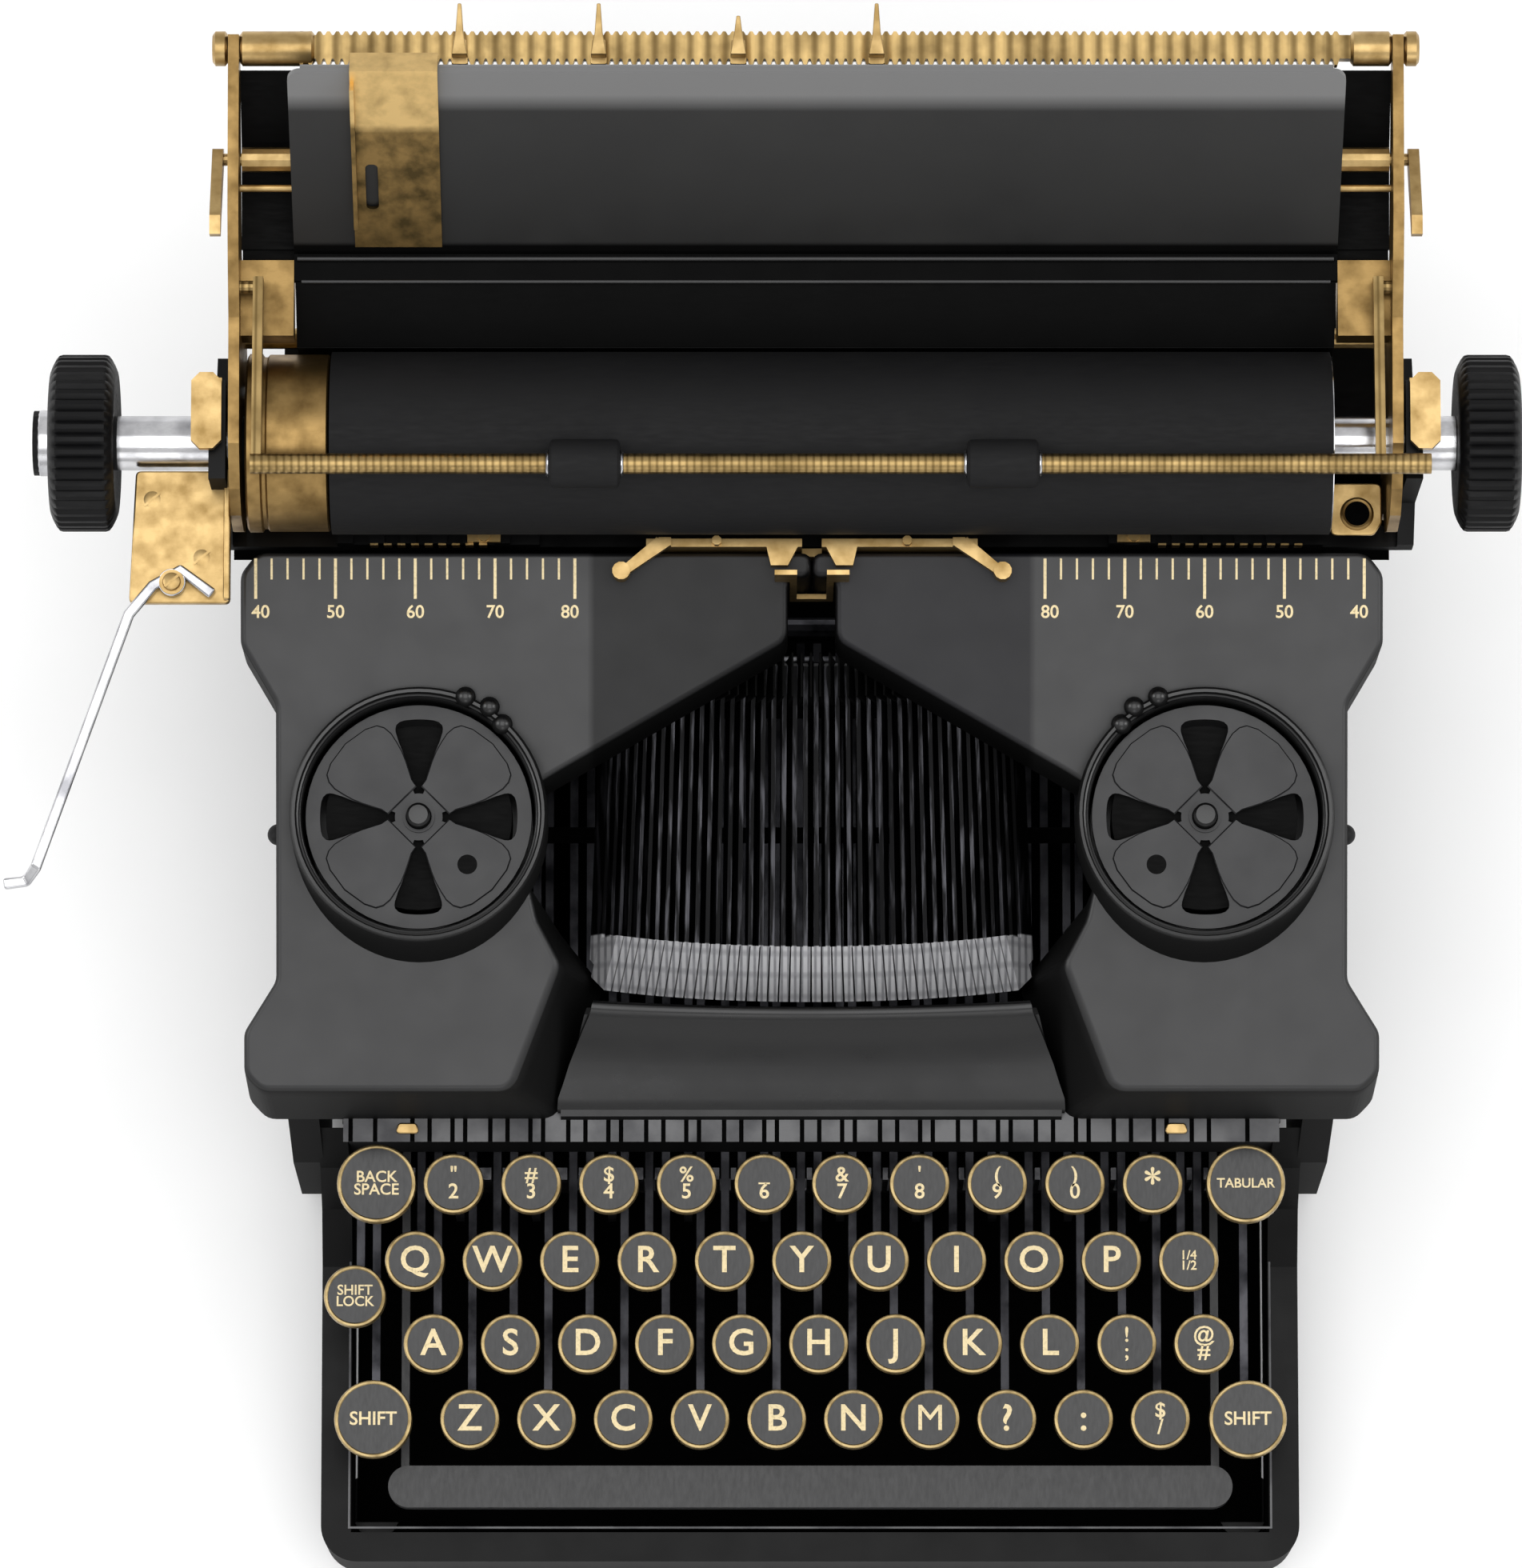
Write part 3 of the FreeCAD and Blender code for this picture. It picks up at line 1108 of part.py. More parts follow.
def all_nodes():
    """Every node by name, in the building frame."""
    nodes = {
        "feet": make_feet(),
        "front_rail": make_front_rail(),
        "side_frame_right": make_side_frame(),
        "side_frame_left": mirror(make_side_frame()),
        "rear_frame": make_rear_frame(),
        "cover_left": make_cover(),
        "cover_right": mirror(make_cover()),
        "front_panel": make_front_panel(),
        "ribbon_cups": Part.makeCompound([make_ribbon_cup(), mirror(make_ribbon_cup())]),
        "spool_left": make_ribbon_spool(),
        "spool_right": mirror(make_ribbon_spool()),
        "ribbon_reverse_rod": make_ribbon_reverse_rod(),
        "ribbon_vibrator": make_ribbon_vibrator(),
        "type_segment": make_type_segment(),
        "typebars": make_typebars(),
        "striking_typebar": make_typebar(STRIKING_BAR),
        "type_guide": make_type_guide(),
        "key_guides": make_key_guides(),
        "striking_key": character_key(STRIKING_ROW, STRIKING_INDEX),
        "space_bar": make_space_bar(),
        "shift_keys": make_shift_keys(),
        "shift_lock": make_key(LOCK_X, LOCK_Y, LOCK_TOP, LOCK_KEY_R),
        "backspace_key": make_key(-SIDE_KEY_X, ROW_Y[3], row_top(3), FUNCTION_KEY_R),
        "tabulator_key": make_key(SIDE_KEY_X, ROW_Y[3], row_top(3), FUNCTION_KEY_R),
        "mainspring_drum": make_mainspring_drum(),
        "carriage_rails": make_carriage_rails(),
        "carriage_bed": make_carriage_bed(),
        "margin_stop_left": make_margin_stop(MARGIN_STOP_X[0]),
        "margin_stop_right": make_margin_stop(MARGIN_STOP_X[1]),
        "end_plate_left": make_end_plate(*END_PLATE_LEFT_X, [END_PLATE_LEFT_X[1], TABLE_X[0]]),
        "end_plate_right": make_end_plate(*END_PLATE_RIGHT_X, [END_PLATE_RIGHT_X[0], TABLE_X[1]]),
        "cross_rods": make_cross_rods(),
        "feed_roll_front": make_feed_roll(*feed_roll_axes()[0]),
        "feed_roll_rear": make_feed_roll(*feed_roll_axes()[1]),
        "paper_deflector": make_paper_deflector(),
        "paper_table": make_paper_table(),
        "paper_guide": make_paper_guide(),
        "paper_release": make_paper_release(),
        "tab_rack": make_tab_rack(),
        "lever_bracket": make_lever_bracket(),
        "return_lever": make_return_lever(),
        "carriage_release_left": make_carriage_release(*left_upright_x()),
        "carriage_release_right": make_carriage_release(*right_upright_x()),
        "platen_roller": make_platen_roller(),
        "line_space_ratchet": make_line_space_ratchet(),
        "knob_left": make_knob(*KNOB_LEFT_X),
        "knob_right": make_knob(*KNOB_RIGHT_X),
        "bail_frame": make_bail_frame(),
        "bail_roller_left": make_bail_roller(*BAIL_ROLLER_LEFT_X),
        "bail_roller_right": make_bail_roller(*BAIL_ROLLER_RIGHT_X),
    }
    for column in range(min(ROW_COUNT)):
        nodes["key_column_%d" % (column + 1)] = make_key_column(column)
    return nodes


def main():
    nodes = all_nodes()
    whole = FreeCAD.BoundBox()
    for shape in nodes.values():
        whole.add(shape.BoundBox)
    home = Vector(-whole.Center.x, -whole.Center.y, -whole.ZMin)
    os.makedirs("parts", exist_ok=True)
    for name, shape in nodes.items():
        shape.translate(home)
        shape.exportStep("parts/%s.step" % name)
    print("nodes", len(nodes))
    print("size %.1f x %.1f x %.1f" % (whole.XLength, whole.YLength, whole.ZLength))
    print("moved by %.3f %.3f %.3f" % (home.x, home.y, home.z))


main()
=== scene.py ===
"""Looks of a front-strike desk typewriter, built round its CAD frame.

Lengths in the size classes are millimetres in the maker's frame: X = 0 is the middle of the keyboard,
Y = 0 the front rail and Z = 0 the table. place() turns them into metres in the row frame.
"""

import logging
import math
from dataclasses import dataclass
from enum import Enum
from typing import Generic, Iterable, Sequence, TypeVar

import bmesh
import bpy
from mathutils import Matrix, Vector

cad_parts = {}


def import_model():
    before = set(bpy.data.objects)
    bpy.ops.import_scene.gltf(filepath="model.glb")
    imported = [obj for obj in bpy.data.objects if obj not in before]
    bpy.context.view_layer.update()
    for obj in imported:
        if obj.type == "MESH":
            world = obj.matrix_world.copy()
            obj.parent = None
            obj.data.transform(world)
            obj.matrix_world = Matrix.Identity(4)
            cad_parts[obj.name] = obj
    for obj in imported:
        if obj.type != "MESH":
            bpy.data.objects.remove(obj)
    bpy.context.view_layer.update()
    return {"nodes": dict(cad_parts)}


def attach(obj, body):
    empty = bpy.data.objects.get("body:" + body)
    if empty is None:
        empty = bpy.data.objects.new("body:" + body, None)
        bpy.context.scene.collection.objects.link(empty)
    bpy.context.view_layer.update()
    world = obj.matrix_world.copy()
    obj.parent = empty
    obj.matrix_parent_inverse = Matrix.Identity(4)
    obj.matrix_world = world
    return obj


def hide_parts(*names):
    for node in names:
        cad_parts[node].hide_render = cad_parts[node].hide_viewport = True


log = logging.getLogger("typewriter")

MM = 0.001
HOME = Vector((12.168, -178.5, 0.0))
WALL_ROUGH = 0.75
WALL_SHINE = 0.12
WALL_COAT = 0.02
CORNER_REACH = 0.45
LINE_SPACE = 0.8
TYPE_WEIGHT = 0.014

Point = tuple[float, float]
Profile = Sequence[Point]
Sizes = TypeVar("Sizes")
Obj = bpy.types.Object
Material = bpy.types.Material
Socket = bpy.types.NodeSocket
BMesh = bmesh.types.BMesh
Vert = bmesh.types.BMVert


class Side(Enum):
    """The two sides of the machine, as the typist sees them."""

    LEFT = -1
    RIGHT = 1

    @property
    def label(self) -> str:
        """The side's name as it stands in the names of pieces."""
        return self.name.lower()


class Axis(Enum):
    """Axes that a turned piece can stand on, each with its turn from Z about Y in radians."""

    X = math.pi / 2
    Z = 0.0


def place(x: float, y: float, z: float) -> Vector:
    """Turn a point in the maker's frame into the row frame.

    Args:
        x, y, z: millimetres in the maker's frame.

    Returns:
        The point in metres in the row frame.
    """
    return (Vector((x, y, z)) + HOME) * MM


# Colours and finishes

def linear(code: str) -> tuple[float, float, float, float]:
    """Turn an sRGB hex code into linear colour.

    Args:
        code: six hex digits, such as "c9a56b".

    Returns:
        Linear red, green, blue and an alpha of 1.
    """
    parts = [int(code[i:i + 2], 16) / 255 for i in (0, 2, 4)]
    low = [c / 12.92 if c <= 0.04045 else ((c + 0.055) / 1.055) ** 2.4 for c in parts]
    return (low[0], low[1], low[2], 1.0)


class Graph:
    """A material's node tree, with one helper that adds and sets up a node."""

    def __init__(self, name: str) -> None:
        self.material = bpy.data.materials.new(name)
        self.material.use_nodes = True
        self.nodes = self.material.node_tree.nodes
        self.links = self.material.node_tree.links
        self.shader = self.nodes["Principled BSDF"]
        self.coords = self.add("ShaderNodeTexCoord").outputs["Object"]
        self.least_rough: Socket | None = None

    def add(self, kind: str, options: dict | None = None, **inputs) -> bpy.types.Node:
        """Add a node.

        Args:
            kind: the node's type name.
            options: settings of the node itself.
            inputs: values or sockets for its inputs, by name with _ for a space.

        Returns:
            The new node.
        """
        node = self.nodes.new(kind)
        for key, value in (options or {}).items():
            setattr(node, key, value)
        for key, value in inputs.items():
            self.join(node.inputs[key.replace("_", " ")], value)
        return node

    def join(self, socket: Socket, value) -> None:
        """Link a socket to an output, or set its value."""
        if isinstance(value, Socket):
            self.links.new(value, socket)
        else:
            socket.default_value = value

    def combine(self, operation: str, first, second) -> Socket:
        """Combine two values with an operation of the math node."""
        node = self.add("ShaderNodeMath", {"operation": operation})
        self.join(node.inputs[0], first)
        self.join(node.inputs[1], second)
        return node.outputs[0]

    def noise(self, grain: float, detail: float = 4.0, stretch: Sequence[float] = (1, 1, 1)) -> Socket:
        """Noise whose patches are about one grain across.

        Args:
            grain: size of a patch in millimetres.
            detail: number of finer layers.
            stretch: how much shorter the patches are along each axis.

        Returns:
            The noise's factor output.
        """
        moved = self.add("ShaderNodeVectorMath", {"operation": "MULTIPLY"})
        self.join(moved.inputs[0], self.coords)
        moved.inputs[1].default_value = stretch
        node = self.add("ShaderNodeTexNoise", Vector=moved.outputs[0], Scale=1 / (grain * MM), Detail=detail)
        return node.outputs[0]

    def remap(self, value, low: float, high: float, to_low: float, to_high: float) -> Socket:
        """Map a range of a value to another range, clamped."""
        node = self.add("ShaderNodeMapRange", Value=value, From_Min=low, From_Max=high,
                        To_Min=to_low, To_Max=to_high)
        return node.outputs["Result"]

    def blend(self, amount, first, second) -> Socket:
        """Mix two colours, each a hex code or a socket."""
        node = self.add("ShaderNodeMix", {"data_type": "RGBA"})
        self.join(node.inputs["Factor"], amount)
        self.join(node.inputs["A"], linear(first) if isinstance(first, str) else first)
        self.join(node.inputs["B"], linear(second) if isinstance(second, str) else second)
        return node.outputs["Result"]

    def along(self, axis: str, start: float, end: float) -> Socket:
        """A ramp from 0 at start to 1 at end along an axis, in millimetres of the row frame."""
        split = self.add("ShaderNodeSeparateXYZ", Vector=self.coords)
        return self.remap(split.outputs[axis], start * MM, end * MM, 0.0, 1.0)

    def facing_up(self, low: float = 0.3, high: float = 0.93) -> Socket:
        """From 0 on upright faces to 1 on level ones."""
        normal = self.add("ShaderNodeNewGeometry").outputs["Normal"]
        split = self.add("ShaderNodeSeparateXYZ", Vector=normal)
        return self.remap(split.outputs["Z"], low, high, 0.0, 1.0)

    def dim_walls(self, tone: Socket, wall: str, coat: float, shine: float) -> Socket:
        """Paint shade on upright faces by darkening their colour, and take their shine, coat and smoothness away.

        Args:
            tone: socket of the colour.
            wall: hex code of the painted shade on the upright faces.
            coat: weight of the coat on level faces.
            shine: specular level of level faces.

        Returns:
            The colour's socket, with the painted shade on upright faces.
        """
        up = self.facing_up()
        self.least_rough = self.remap(up, 0.0, 1.0, WALL_ROUGH, 0.0)
        self.join(self.shader.inputs["Specular IOR Level"], self.remap(up, 0.0, 1.0, WALL_SHINE, shine))
        self.join(self.shader.inputs["Coat Weight"], self.remap(up, 0.0, 1.0, WALL_COAT, coat))
        # painted shade: upright faces take the wall colour, level faces keep their own colour
        return self.blend(up, wall, tone)

    def bump(self, height, depth: float, strength: float = 1.0) -> None:
        """Put a bump of a depth in millimetres on the shader, over any bump that it has."""
        node = self.add("ShaderNodeBump", Strength=strength, Distance=depth * MM, Height=height)
        normal = self.shader.inputs["Normal"]
        if normal.is_linked:
            self.join(node.inputs["Normal"], normal.links[0].from_socket)
        self.links.new(node.outputs["Normal"], normal)

    def paint(self, colour, rough, metal: float = 0.0, coat: float = 0.0, coat_rough: float = 0.1) -> Material:
        """Set the shader's main inputs.

        Args:
            colour: hex code or socket.
            rough: value or socket.
            metal: metallic value.
            coat: weight of the clear coat.
            coat_rough: roughness of the clear coat.

        Returns:
            The finished material.
        """
        self.join(self.shader.inputs["Base Color"], linear(colour) if isinstance(colour, str) else colour)
        if self.least_rough:
            rough = self.combine("MAXIMUM", rough, self.least_rough)
        self.join(self.shader.inputs["Roughness"], rough)
        for name, value in (("Metallic", metal), ("Coat Weight", coat), ("Coat Roughness", coat_rough)):
            if not self.shader.inputs[name].is_linked:
                self.shader.inputs[name].default_value = value
        return self.material


@dataclass(frozen=True)
class Enamel:
    """Stoved enamel over cast or pressed metal, with faint orange peel, rubbed patches and painted shade on its
    upright faces.
    """

    name: str
    colour: str
    worn: str
    rough: float = 0.38
    coat: float = 0.5
    peel: float = 0.02
    # colour of the painted shade on upright faces
    wall: str = "050505"
    shine: float = 0.4

    def build(self) -> Material:
        """Return the finished material."""
        g = Graph(self.name)
        cloud = g.noise(38.0, 5.0)
        rubbed = g.remap(g.noise(6.0, 8.0), 0.62, 0.78, 0.0, 0.55)
        tone = g.blend(g.remap(cloud, 0.35, 0.65, 0.0, 0.35), self.colour, self.worn)
        tone = g.blend(rubbed, tone, self.worn)
        g.bump(g.noise(1.6, 3.0), self.peel)
        rough = g.remap(g.noise(11.0, 6.0), 0.3, 0.7, self.rough - 0.06, self.rough + 0.08)
        # painted shade: upright faces are darkened towards the wall colour
        tone = g.dim_walls(tone, self.wall, self.coat, self.shine)
        return g.paint(tone, rough, coat=self.coat, coat_rough=0.22)


@dataclass(frozen=True)
class WingedEnamel:
    """Cover enamel with painted shade on the wings, darker on each side of the middle by its own amount, and
    painted shade on its upright faces.
    """

    name: str
    colour: str
    worn: str
    # colours of the painted shade on the left and right wings
    left: str
    right: str
    wing: float
    middle: float

    def build(self) -> Material:
        """Return the finished material."""
        g = Graph(self.name)
        cloud = g.remap(g.noise(42.0, 5.0), 0.35, 0.65, 0.0, 0.5)
        plain = g.blend(cloud, self.colour, self.worn)
        left_edge, middle, right_edge = (g.along("X", x - soft, x + soft) for x, soft in (
            (self.middle - self.wing, 0.9), (self.middle, 2.0), (self.middle + self.wing, 0.9)))
        behind = g.along("Y", 0.0, 4.0)
        # painted shade on the wings, standing in for their tilt away from the light
        wings = g.blend(middle, g.blend(left_edge, plain, self.left), self.right)
        tone = g.blend(behind, plain, g.blend(right_edge, wings, plain))
        g.bump(g.noise(1.6, 3.0), 0.015)
        on_wing = g.combine("MULTIPLY", g.combine("SUBTRACT", left_edge, right_edge), behind)
        # painted shade on the upright faces as well
        tone = g.dim_walls(tone, "040404", 0.1, 0.42)
        level = g.shader.inputs["Specular IOR Level"].links[0].from_socket
        g.join(g.shader.inputs["Specular IOR Level"],
               g.combine("MULTIPLY", level, g.remap(on_wing, 0.0, 1.0, 1.0, 0.5)))
        rough = g.remap(g.noise(11.0, 6.0), 0.3, 0.7, 0.36, 0.46)
        return g.paint(tone, rough, coat=0.1, coat_rough=0.3)


@dataclass(frozen=True)
class Metal:
    """Bare or plated metal, mottled in patches, with fine directional scratches, and, when a pale colour is given,
    a painted highlight behind a depth where its top faces the light.
    """

    name: str
    colour: str
    stain: str
    rough: float = 0.3
    mottle: float = 5.0
    spread: tuple[float, float] = (0.40, 0.68)
    scratch: Sequence[float] = (1.0, 9.0, 9.0)
    # pale colour and the depth where it starts: a painted highlight where the top faces the light
    pale: str = ""
    pale_from: float = 0.0
    dents: float = 0.05

    def build(self) -> Material:
        """Return the finished material."""
        g = Graph(self.name)
        patches = g.remap(g.noise(self.mottle, 7.0), self.spread[0], self.spread[1], 0.0, 1.0)
        fine = g.noise(1.2, 4.0, self.scratch)
        tone = g.blend(patches, self.colour, self.stain)
        tone = g.blend(g.remap(fine, 0.55, 0.8, 0.0, 0.25), tone, self.stain)
        if self.pale:
            # painted highlight: behind the depth the colour turns pale
            rise = g.along("Y", self.pale_from, self.pale_from + 1.5)
            tone = g.blend(rise, tone, g.blend(g.remap(patches, 0.0, 1.0, 0.0, 0.35), self.pale, self.stain))
        g.bump(fine, 0.012, 0.6)
        g.bump(g.noise(self.mottle * 0.6, 3.0), self.dents, 0.7)
        rough = g.remap(patches, 0.0, 1.0, self.rough - 0.03, self.rough + 0.08)
        return g.paint(tone, rough, metal=1.0)


@dataclass(frozen=True)
class Ridged:
    """Metal rod cut with fine rings along X, with painted shade in the grooves."""

    name: str
    colour: str
    stain: str
    pitch: float
    depth: float

    def build(self) -> Material:
        """Return the finished material."""
        g = Graph(self.name)
        rings = g.add("ShaderNodeTexWave", {"wave_type": "BANDS", "bands_direction": "X"},
                      Vector=g.coords, Scale=1 / (self.pitch * MM) / math.pi / 2)
        cut = rings.outputs["Fac"]
        patches = g.remap(g.noise(9.0, 6.0), 0.4, 0.7, 0.0, 0.6)
        # painted shade: the grooves are darkened towards the stain colour, which also tints the stain patches
        tone = g.blend(g.remap(cut, 0.0, 0.5, 0.75, 0.0), self.colour, self.stain)
        tone = g.blend(patches, tone, self.stain)
        g.bump(cut, self.depth)
        return g.paint(tone, g.remap(g.noise(2.0), 0.3, 0.7, 0.28, 0.42), metal=1.0)


@dataclass(frozen=True)
class Rubber:
    """Hard rubber, with a fine grain and dusty patches."""

    name: str
    colour: str
    dust: str
    rough: float = 0.62
    shine: float = 0.3

    def build(self) -> Material:
        """Return the finished material."""
        g = Graph(self.name)
        dusty = g.remap(g.noise(14.0, 6.0), 0.45, 0.75, 0.0, 0.5)
        lines = g.noise(0.9, 3.0, (0.2, 1.0, 1.0))
        g.bump(lines, 0.02, 0.7)
        g.shader.inputs["Specular IOR Level"].default_value = self.shine
        rough = g.remap(lines, 0.3, 0.7, self.rough, self.rough + 0.12)
        return g.paint(g.blend(dusty, self.colour, self.dust), rough)


@dataclass(frozen=True)
class Gloss:
    """Moulded black plastic or lacquered card under a glossy top."""

    name: str
    colour: str
    haze: str
    rough: float = 0.3
    coat: float = 0.6

    def build(self) -> Material:
        """Return the finished material."""
        g = Graph(self.name)
        haze = g.remap(g.noise(5.0, 6.0), 0.45, 0.75, 0.0, 0.6)
        scuffs = g.noise(0.8, 5.0, (1.0, 0.3, 1.0))
        g.bump(scuffs, 0.006, 0.5)
        rough = g.remap(scuffs, 0.3, 0.7, self.rough - 0.04, self.rough + 0.1)
        return g.paint(g.blend(haze, self.colour, self.haze), rough, coat=self.coat, coat_rough=0.12)


@dataclass(frozen=True)
class Banded:
    """Enamelled sheet that is black at its foot, with a painted highlight where its upper edge rolls over to face
    the light.
    """

    name: str
    colour: str
    # pale colour and the depths where it starts and ends: the painted highlight on the rolled upper edge
    pale: str
    start: float
    end: float
    foot: float

    def build(self) -> Material:
        """Return the finished material."""
        g = Graph(self.name)
        rise = g.along("Y", self.start, self.end)
        cloud = g.remap(g.noise(30.0, 5.0), 0.35, 0.7, 0.0, 0.4)
        tone = g.blend(cloud, self.colour, "20201f")
        # painted highlight on the rolled upper edge
        tone = g.blend(rise, tone, self.pale)
        above = g.along("Y", self.foot, self.foot + 0.8)
        tone = g.blend(above, "040404", tone)
        g.bump(g.noise(1.4, 3.0), 0.015)
        g.join(g.shader.inputs["Specular IOR Level"], g.remap(above, 0.0, 1.0, 0.04, 0.4))
        return g.paint(tone, g.remap(g.noise(12.0, 5.0), 0.3, 0.7, 0.4, 0.52), coat=0.0)


@dataclass(frozen=True)
class BarSteel:
    """Dark typebar steel with painted highlights streaked along the bars, and bright slugs in front of a depth."""

    name: str
    dark: str
    # colour of the painted highlights streaked along the bars
    streak: str
    bright: str
    slug_back: float

    def build(self) -> Material:
        """Return the finished material."""
        g = Graph(self.name)
        # painted highlights: long pale streaks along the bars
        streaks = g.remap(g.noise(1.3, 5.0, (1.0, 0.08, 0.3)), 0.5, 0.66, 0.0, 1.0)
        tone = g.blend(streaks, self.dark, self.streak)
        front = g.along("Y", self.slug_back + 0.4, self.slug_back)
        lines = g.add("ShaderNodeTexWave", {"bands_direction": "X"}, Vector=g.coords, Scale=190.0)
        rows = g.add("ShaderNodeTexWave", {"bands_direction": "Y"}, Vector=g.coords, Scale=62.0)
        upright = g.remap(lines.outputs["Fac"], 0.1, 0.6, 0.7, 0.0)
        across = g.remap(rows.outputs["Fac"], 0.0, 0.3, 0.45, 0.0)
        faces = g.blend(upright, self.bright, "55555a")
        faces = g.blend(across, faces, "6a6a6e")
        faces = g.blend(g.remap(g.noise(2.4, 4.0), 0.45, 0.7, 0.0, 0.35), faces, "a4a4a8")
        tone = g.blend(front, tone, faces)
        g.bump(g.noise(0.5, 3.0, (1.0, 0.4, 1.0)), 0.02, 0.6)
        g.join(g.shader.inputs["Metallic"], g.remap(front, 0.0, 1.0, 0.9, 0.45))
        return g.paint(tone, g.remap(front, 0.0, 1.0, 0.36, 0.42))


@dataclass(frozen=True)
class Ink:
    """Inlaid paint of legends and scale lines, slightly broken."""

    name: str
    colour: str
    faded: str

    def build(self) -> Material:
        """Return the finished material."""
        g = Graph(self.name)
        broken = g.remap(g.noise(0.7, 5.0), 0.5, 0.75, 0.0, 0.7)
        g.bump(g.noise(0.3, 2.0), 0.01)
        return g.paint(g.blend(broken, self.colour, self.faded), g.remap(broken, 0.0, 1.0, 0.45, 0.6))


@dataclass(frozen=True)
class Ground:
    """Plain pale table top, faintly uneven."""

    name: str = "pale_table"
    colour: str = "fbfbfb"

    def build(self) -> Material:
        """Return the finished material."""
        g = Graph(self.name)
        cloud = g.remap(g.noise(90.0, 4.0), 0.3, 0.7, 0.0, 1.0)
        g.bump(g.noise(2.0, 3.0), 0.02, 0.3)
        return g.paint(g.blend(cloud, self.colour, "f7f7f7"), g.remap(cloud, 0.0, 1.0, 0.85, 0.92))


class Finishes:
    """Every material of the machine, built once, and what each CAD node wears."""

    def __init__(self) -> None:
        middle = HOME.x
        back = HOME.y
        # the covers carry painted shade on their wings and upright faces
        self.enamel = WingedEnamel("cover_enamel", "1e1e1f", "242425", "0f0f10", "17171a", 53.4, middle).build()
        # the frame's upright faces take a near-black painted shade
        self.frame = Enamel("frame_enamel", "030303", "060607", rough=0.34, coat=0.03, wall="020202",
                            shine=0.12).build()
        self.apron = Enamel("apron_enamel", "101011", "161617", rough=0.3, coat=0.2).build()
        self.cup = Enamel("cup_enamel", "0a0a0b", "101011", rough=0.28, coat=0.3).build()
        self.spool = Enamel("spool_enamel", "18181a", "1f1f20", rough=0.36, coat=0.1).build()
        self.brass = Metal("aged_brass", "bca06e", "8f7446", rough=0.34, spread=(0.36, 0.74), dents=0.02).build()
        self.dull_brass = Metal("dull_brass", "94794c", "66502e", rough=0.38, mottle=6.0, spread=(0.36, 0.74),
                                dents=0.02).build()
        # the guide's upward-facing top carries a painted highlight in pale brass
        self.guide = Metal("guide_brass", "8e7448", "54462b", rough=0.42, pale="dcbb7e",
                           pale_from=back + 323.5).build()
        self.ring = Metal("ring_brass", "a8946a", "7c6a48", rough=0.36, dents=0.01).build()
        self.nickel = Metal("nickel", "d2d2d4", "8e8e92", rough=0.18, mottle=12.0).build()
        self.steel = Metal("grey_steel", "7d7d80", "3e3e42", rough=0.36).build()
        self.plate = Metal("comb_plate_steel", "5c5c5d", "4a4a4c", rough=0.5, mottle=12.0, dents=0.01).build()
        self.lever = Metal("lever_steel", "4c4c50", "242427", rough=0.42, mottle=8.0,
                           scratch=(9.0, 1.0, 9.0)).build()
        self.bars = BarSteel("typebar_steel", "0d0d0e", "404044", "b4b4b6", -33.0).build()
        self.rod = Ridged("ridged_brass", "a38a5c", "5c4a2a", 0.9, 0.06).build()
        self.rack = Ridged("rack_brass", "b89c68", "4c3b20", 2.15, 0.25).build()
        self.platen = Rubber("platen_rubber", "101011", "141415", shine=0.2).build()
        self.rubber = Rubber("black_rubber", "0d0d0e", "141415").build()
        self.knob = Rubber("knob_gloss", "050506", "0a0a0b", rough=0.42, shine=0.16).build()
        self.key = Gloss("key_gloss", "111112", "171718", rough=0.32, coat=0.12).build()
        self.bar = Gloss("space_bar_gloss", "1c1c1d", "232324", rough=0.42, coat=0.08).build()
        # the paper table's rolled top carries a painted highlight
        self.table = Banded("table_enamel", "181818", "6a6a6a", back + 328.0, back + 331.0, back + 302.6).build()
        self.shadow = Rubber("trough_enamel", "020202", "050505", rough=0.6, shine=0.1).build()
        # flat black for the dark bottom and the ribbon rod, and painted shade in the dark sheets, fillers and hole
        # discs that close gaps
        self.felt = Rubber("base_felt", "020202", "040404", rough=0.9, shine=0.05).build()
        self.ribbon = Rubber("ink_ribbon", "030303", "080808", rough=0.8, shine=0.15).build()
        self.ink = Ink("legend_ink", "dcc99c", "a89870").build()

    def by_node(self) -> dict[str, Material]:
        """Return the material of each CAD node that is shown."""
        groups = (
            (self.frame, "front_rail side_frame_left side_frame_right rear_frame carriage_rails carriage_bed"),
            (self.rubber, "feet feed_roll_front feed_roll_rear bail_roller_left bail_roller_right"),
            (self.apron, "front_panel"), (self.felt, "ribbon_reverse_rod"), (self.platen, "platen_roller"),
            (self.shadow, "type_segment paper_deflector"), (self.bars, "typebars striking_typebar"),
            (self.brass, "ribbon_vibrator type_guide margin_stop_left margin_stop_right cross_rods paper_release "
                         "lever_bracket carriage_release_left carriage_release_right line_space_ratchet"),
            (self.dull_brass, "end_plate_left end_plate_right"), (self.steel, "key_guides mainspring_drum"),
            (self.bar, "space_bar"), (self.table, "paper_table"), (self.guide, "paper_guide"),
            (self.rack, "tab_rack"), (self.rod, "bail_frame"),
            (self.lever, "striking_key shift_keys shift_lock backspace_key tabulator_key"),
        )
        worn = {name: material for material, names in groups for name in names.split()}
        worn |= {f"key_column_{column}": self.lever for column in range(1, 11)}
        return worn

    def dress(self, nodes: dict[str, Obj]) -> None:
        """Give every CAD node its material on all its slots."""
        for name, material in self.by_node().items():
            mesh = nodes[name].data
            if not mesh.materials:
                mesh.materials.append(material)
            for i in range(len(mesh.materials)):
                mesh.materials[i] = material


# Shapes

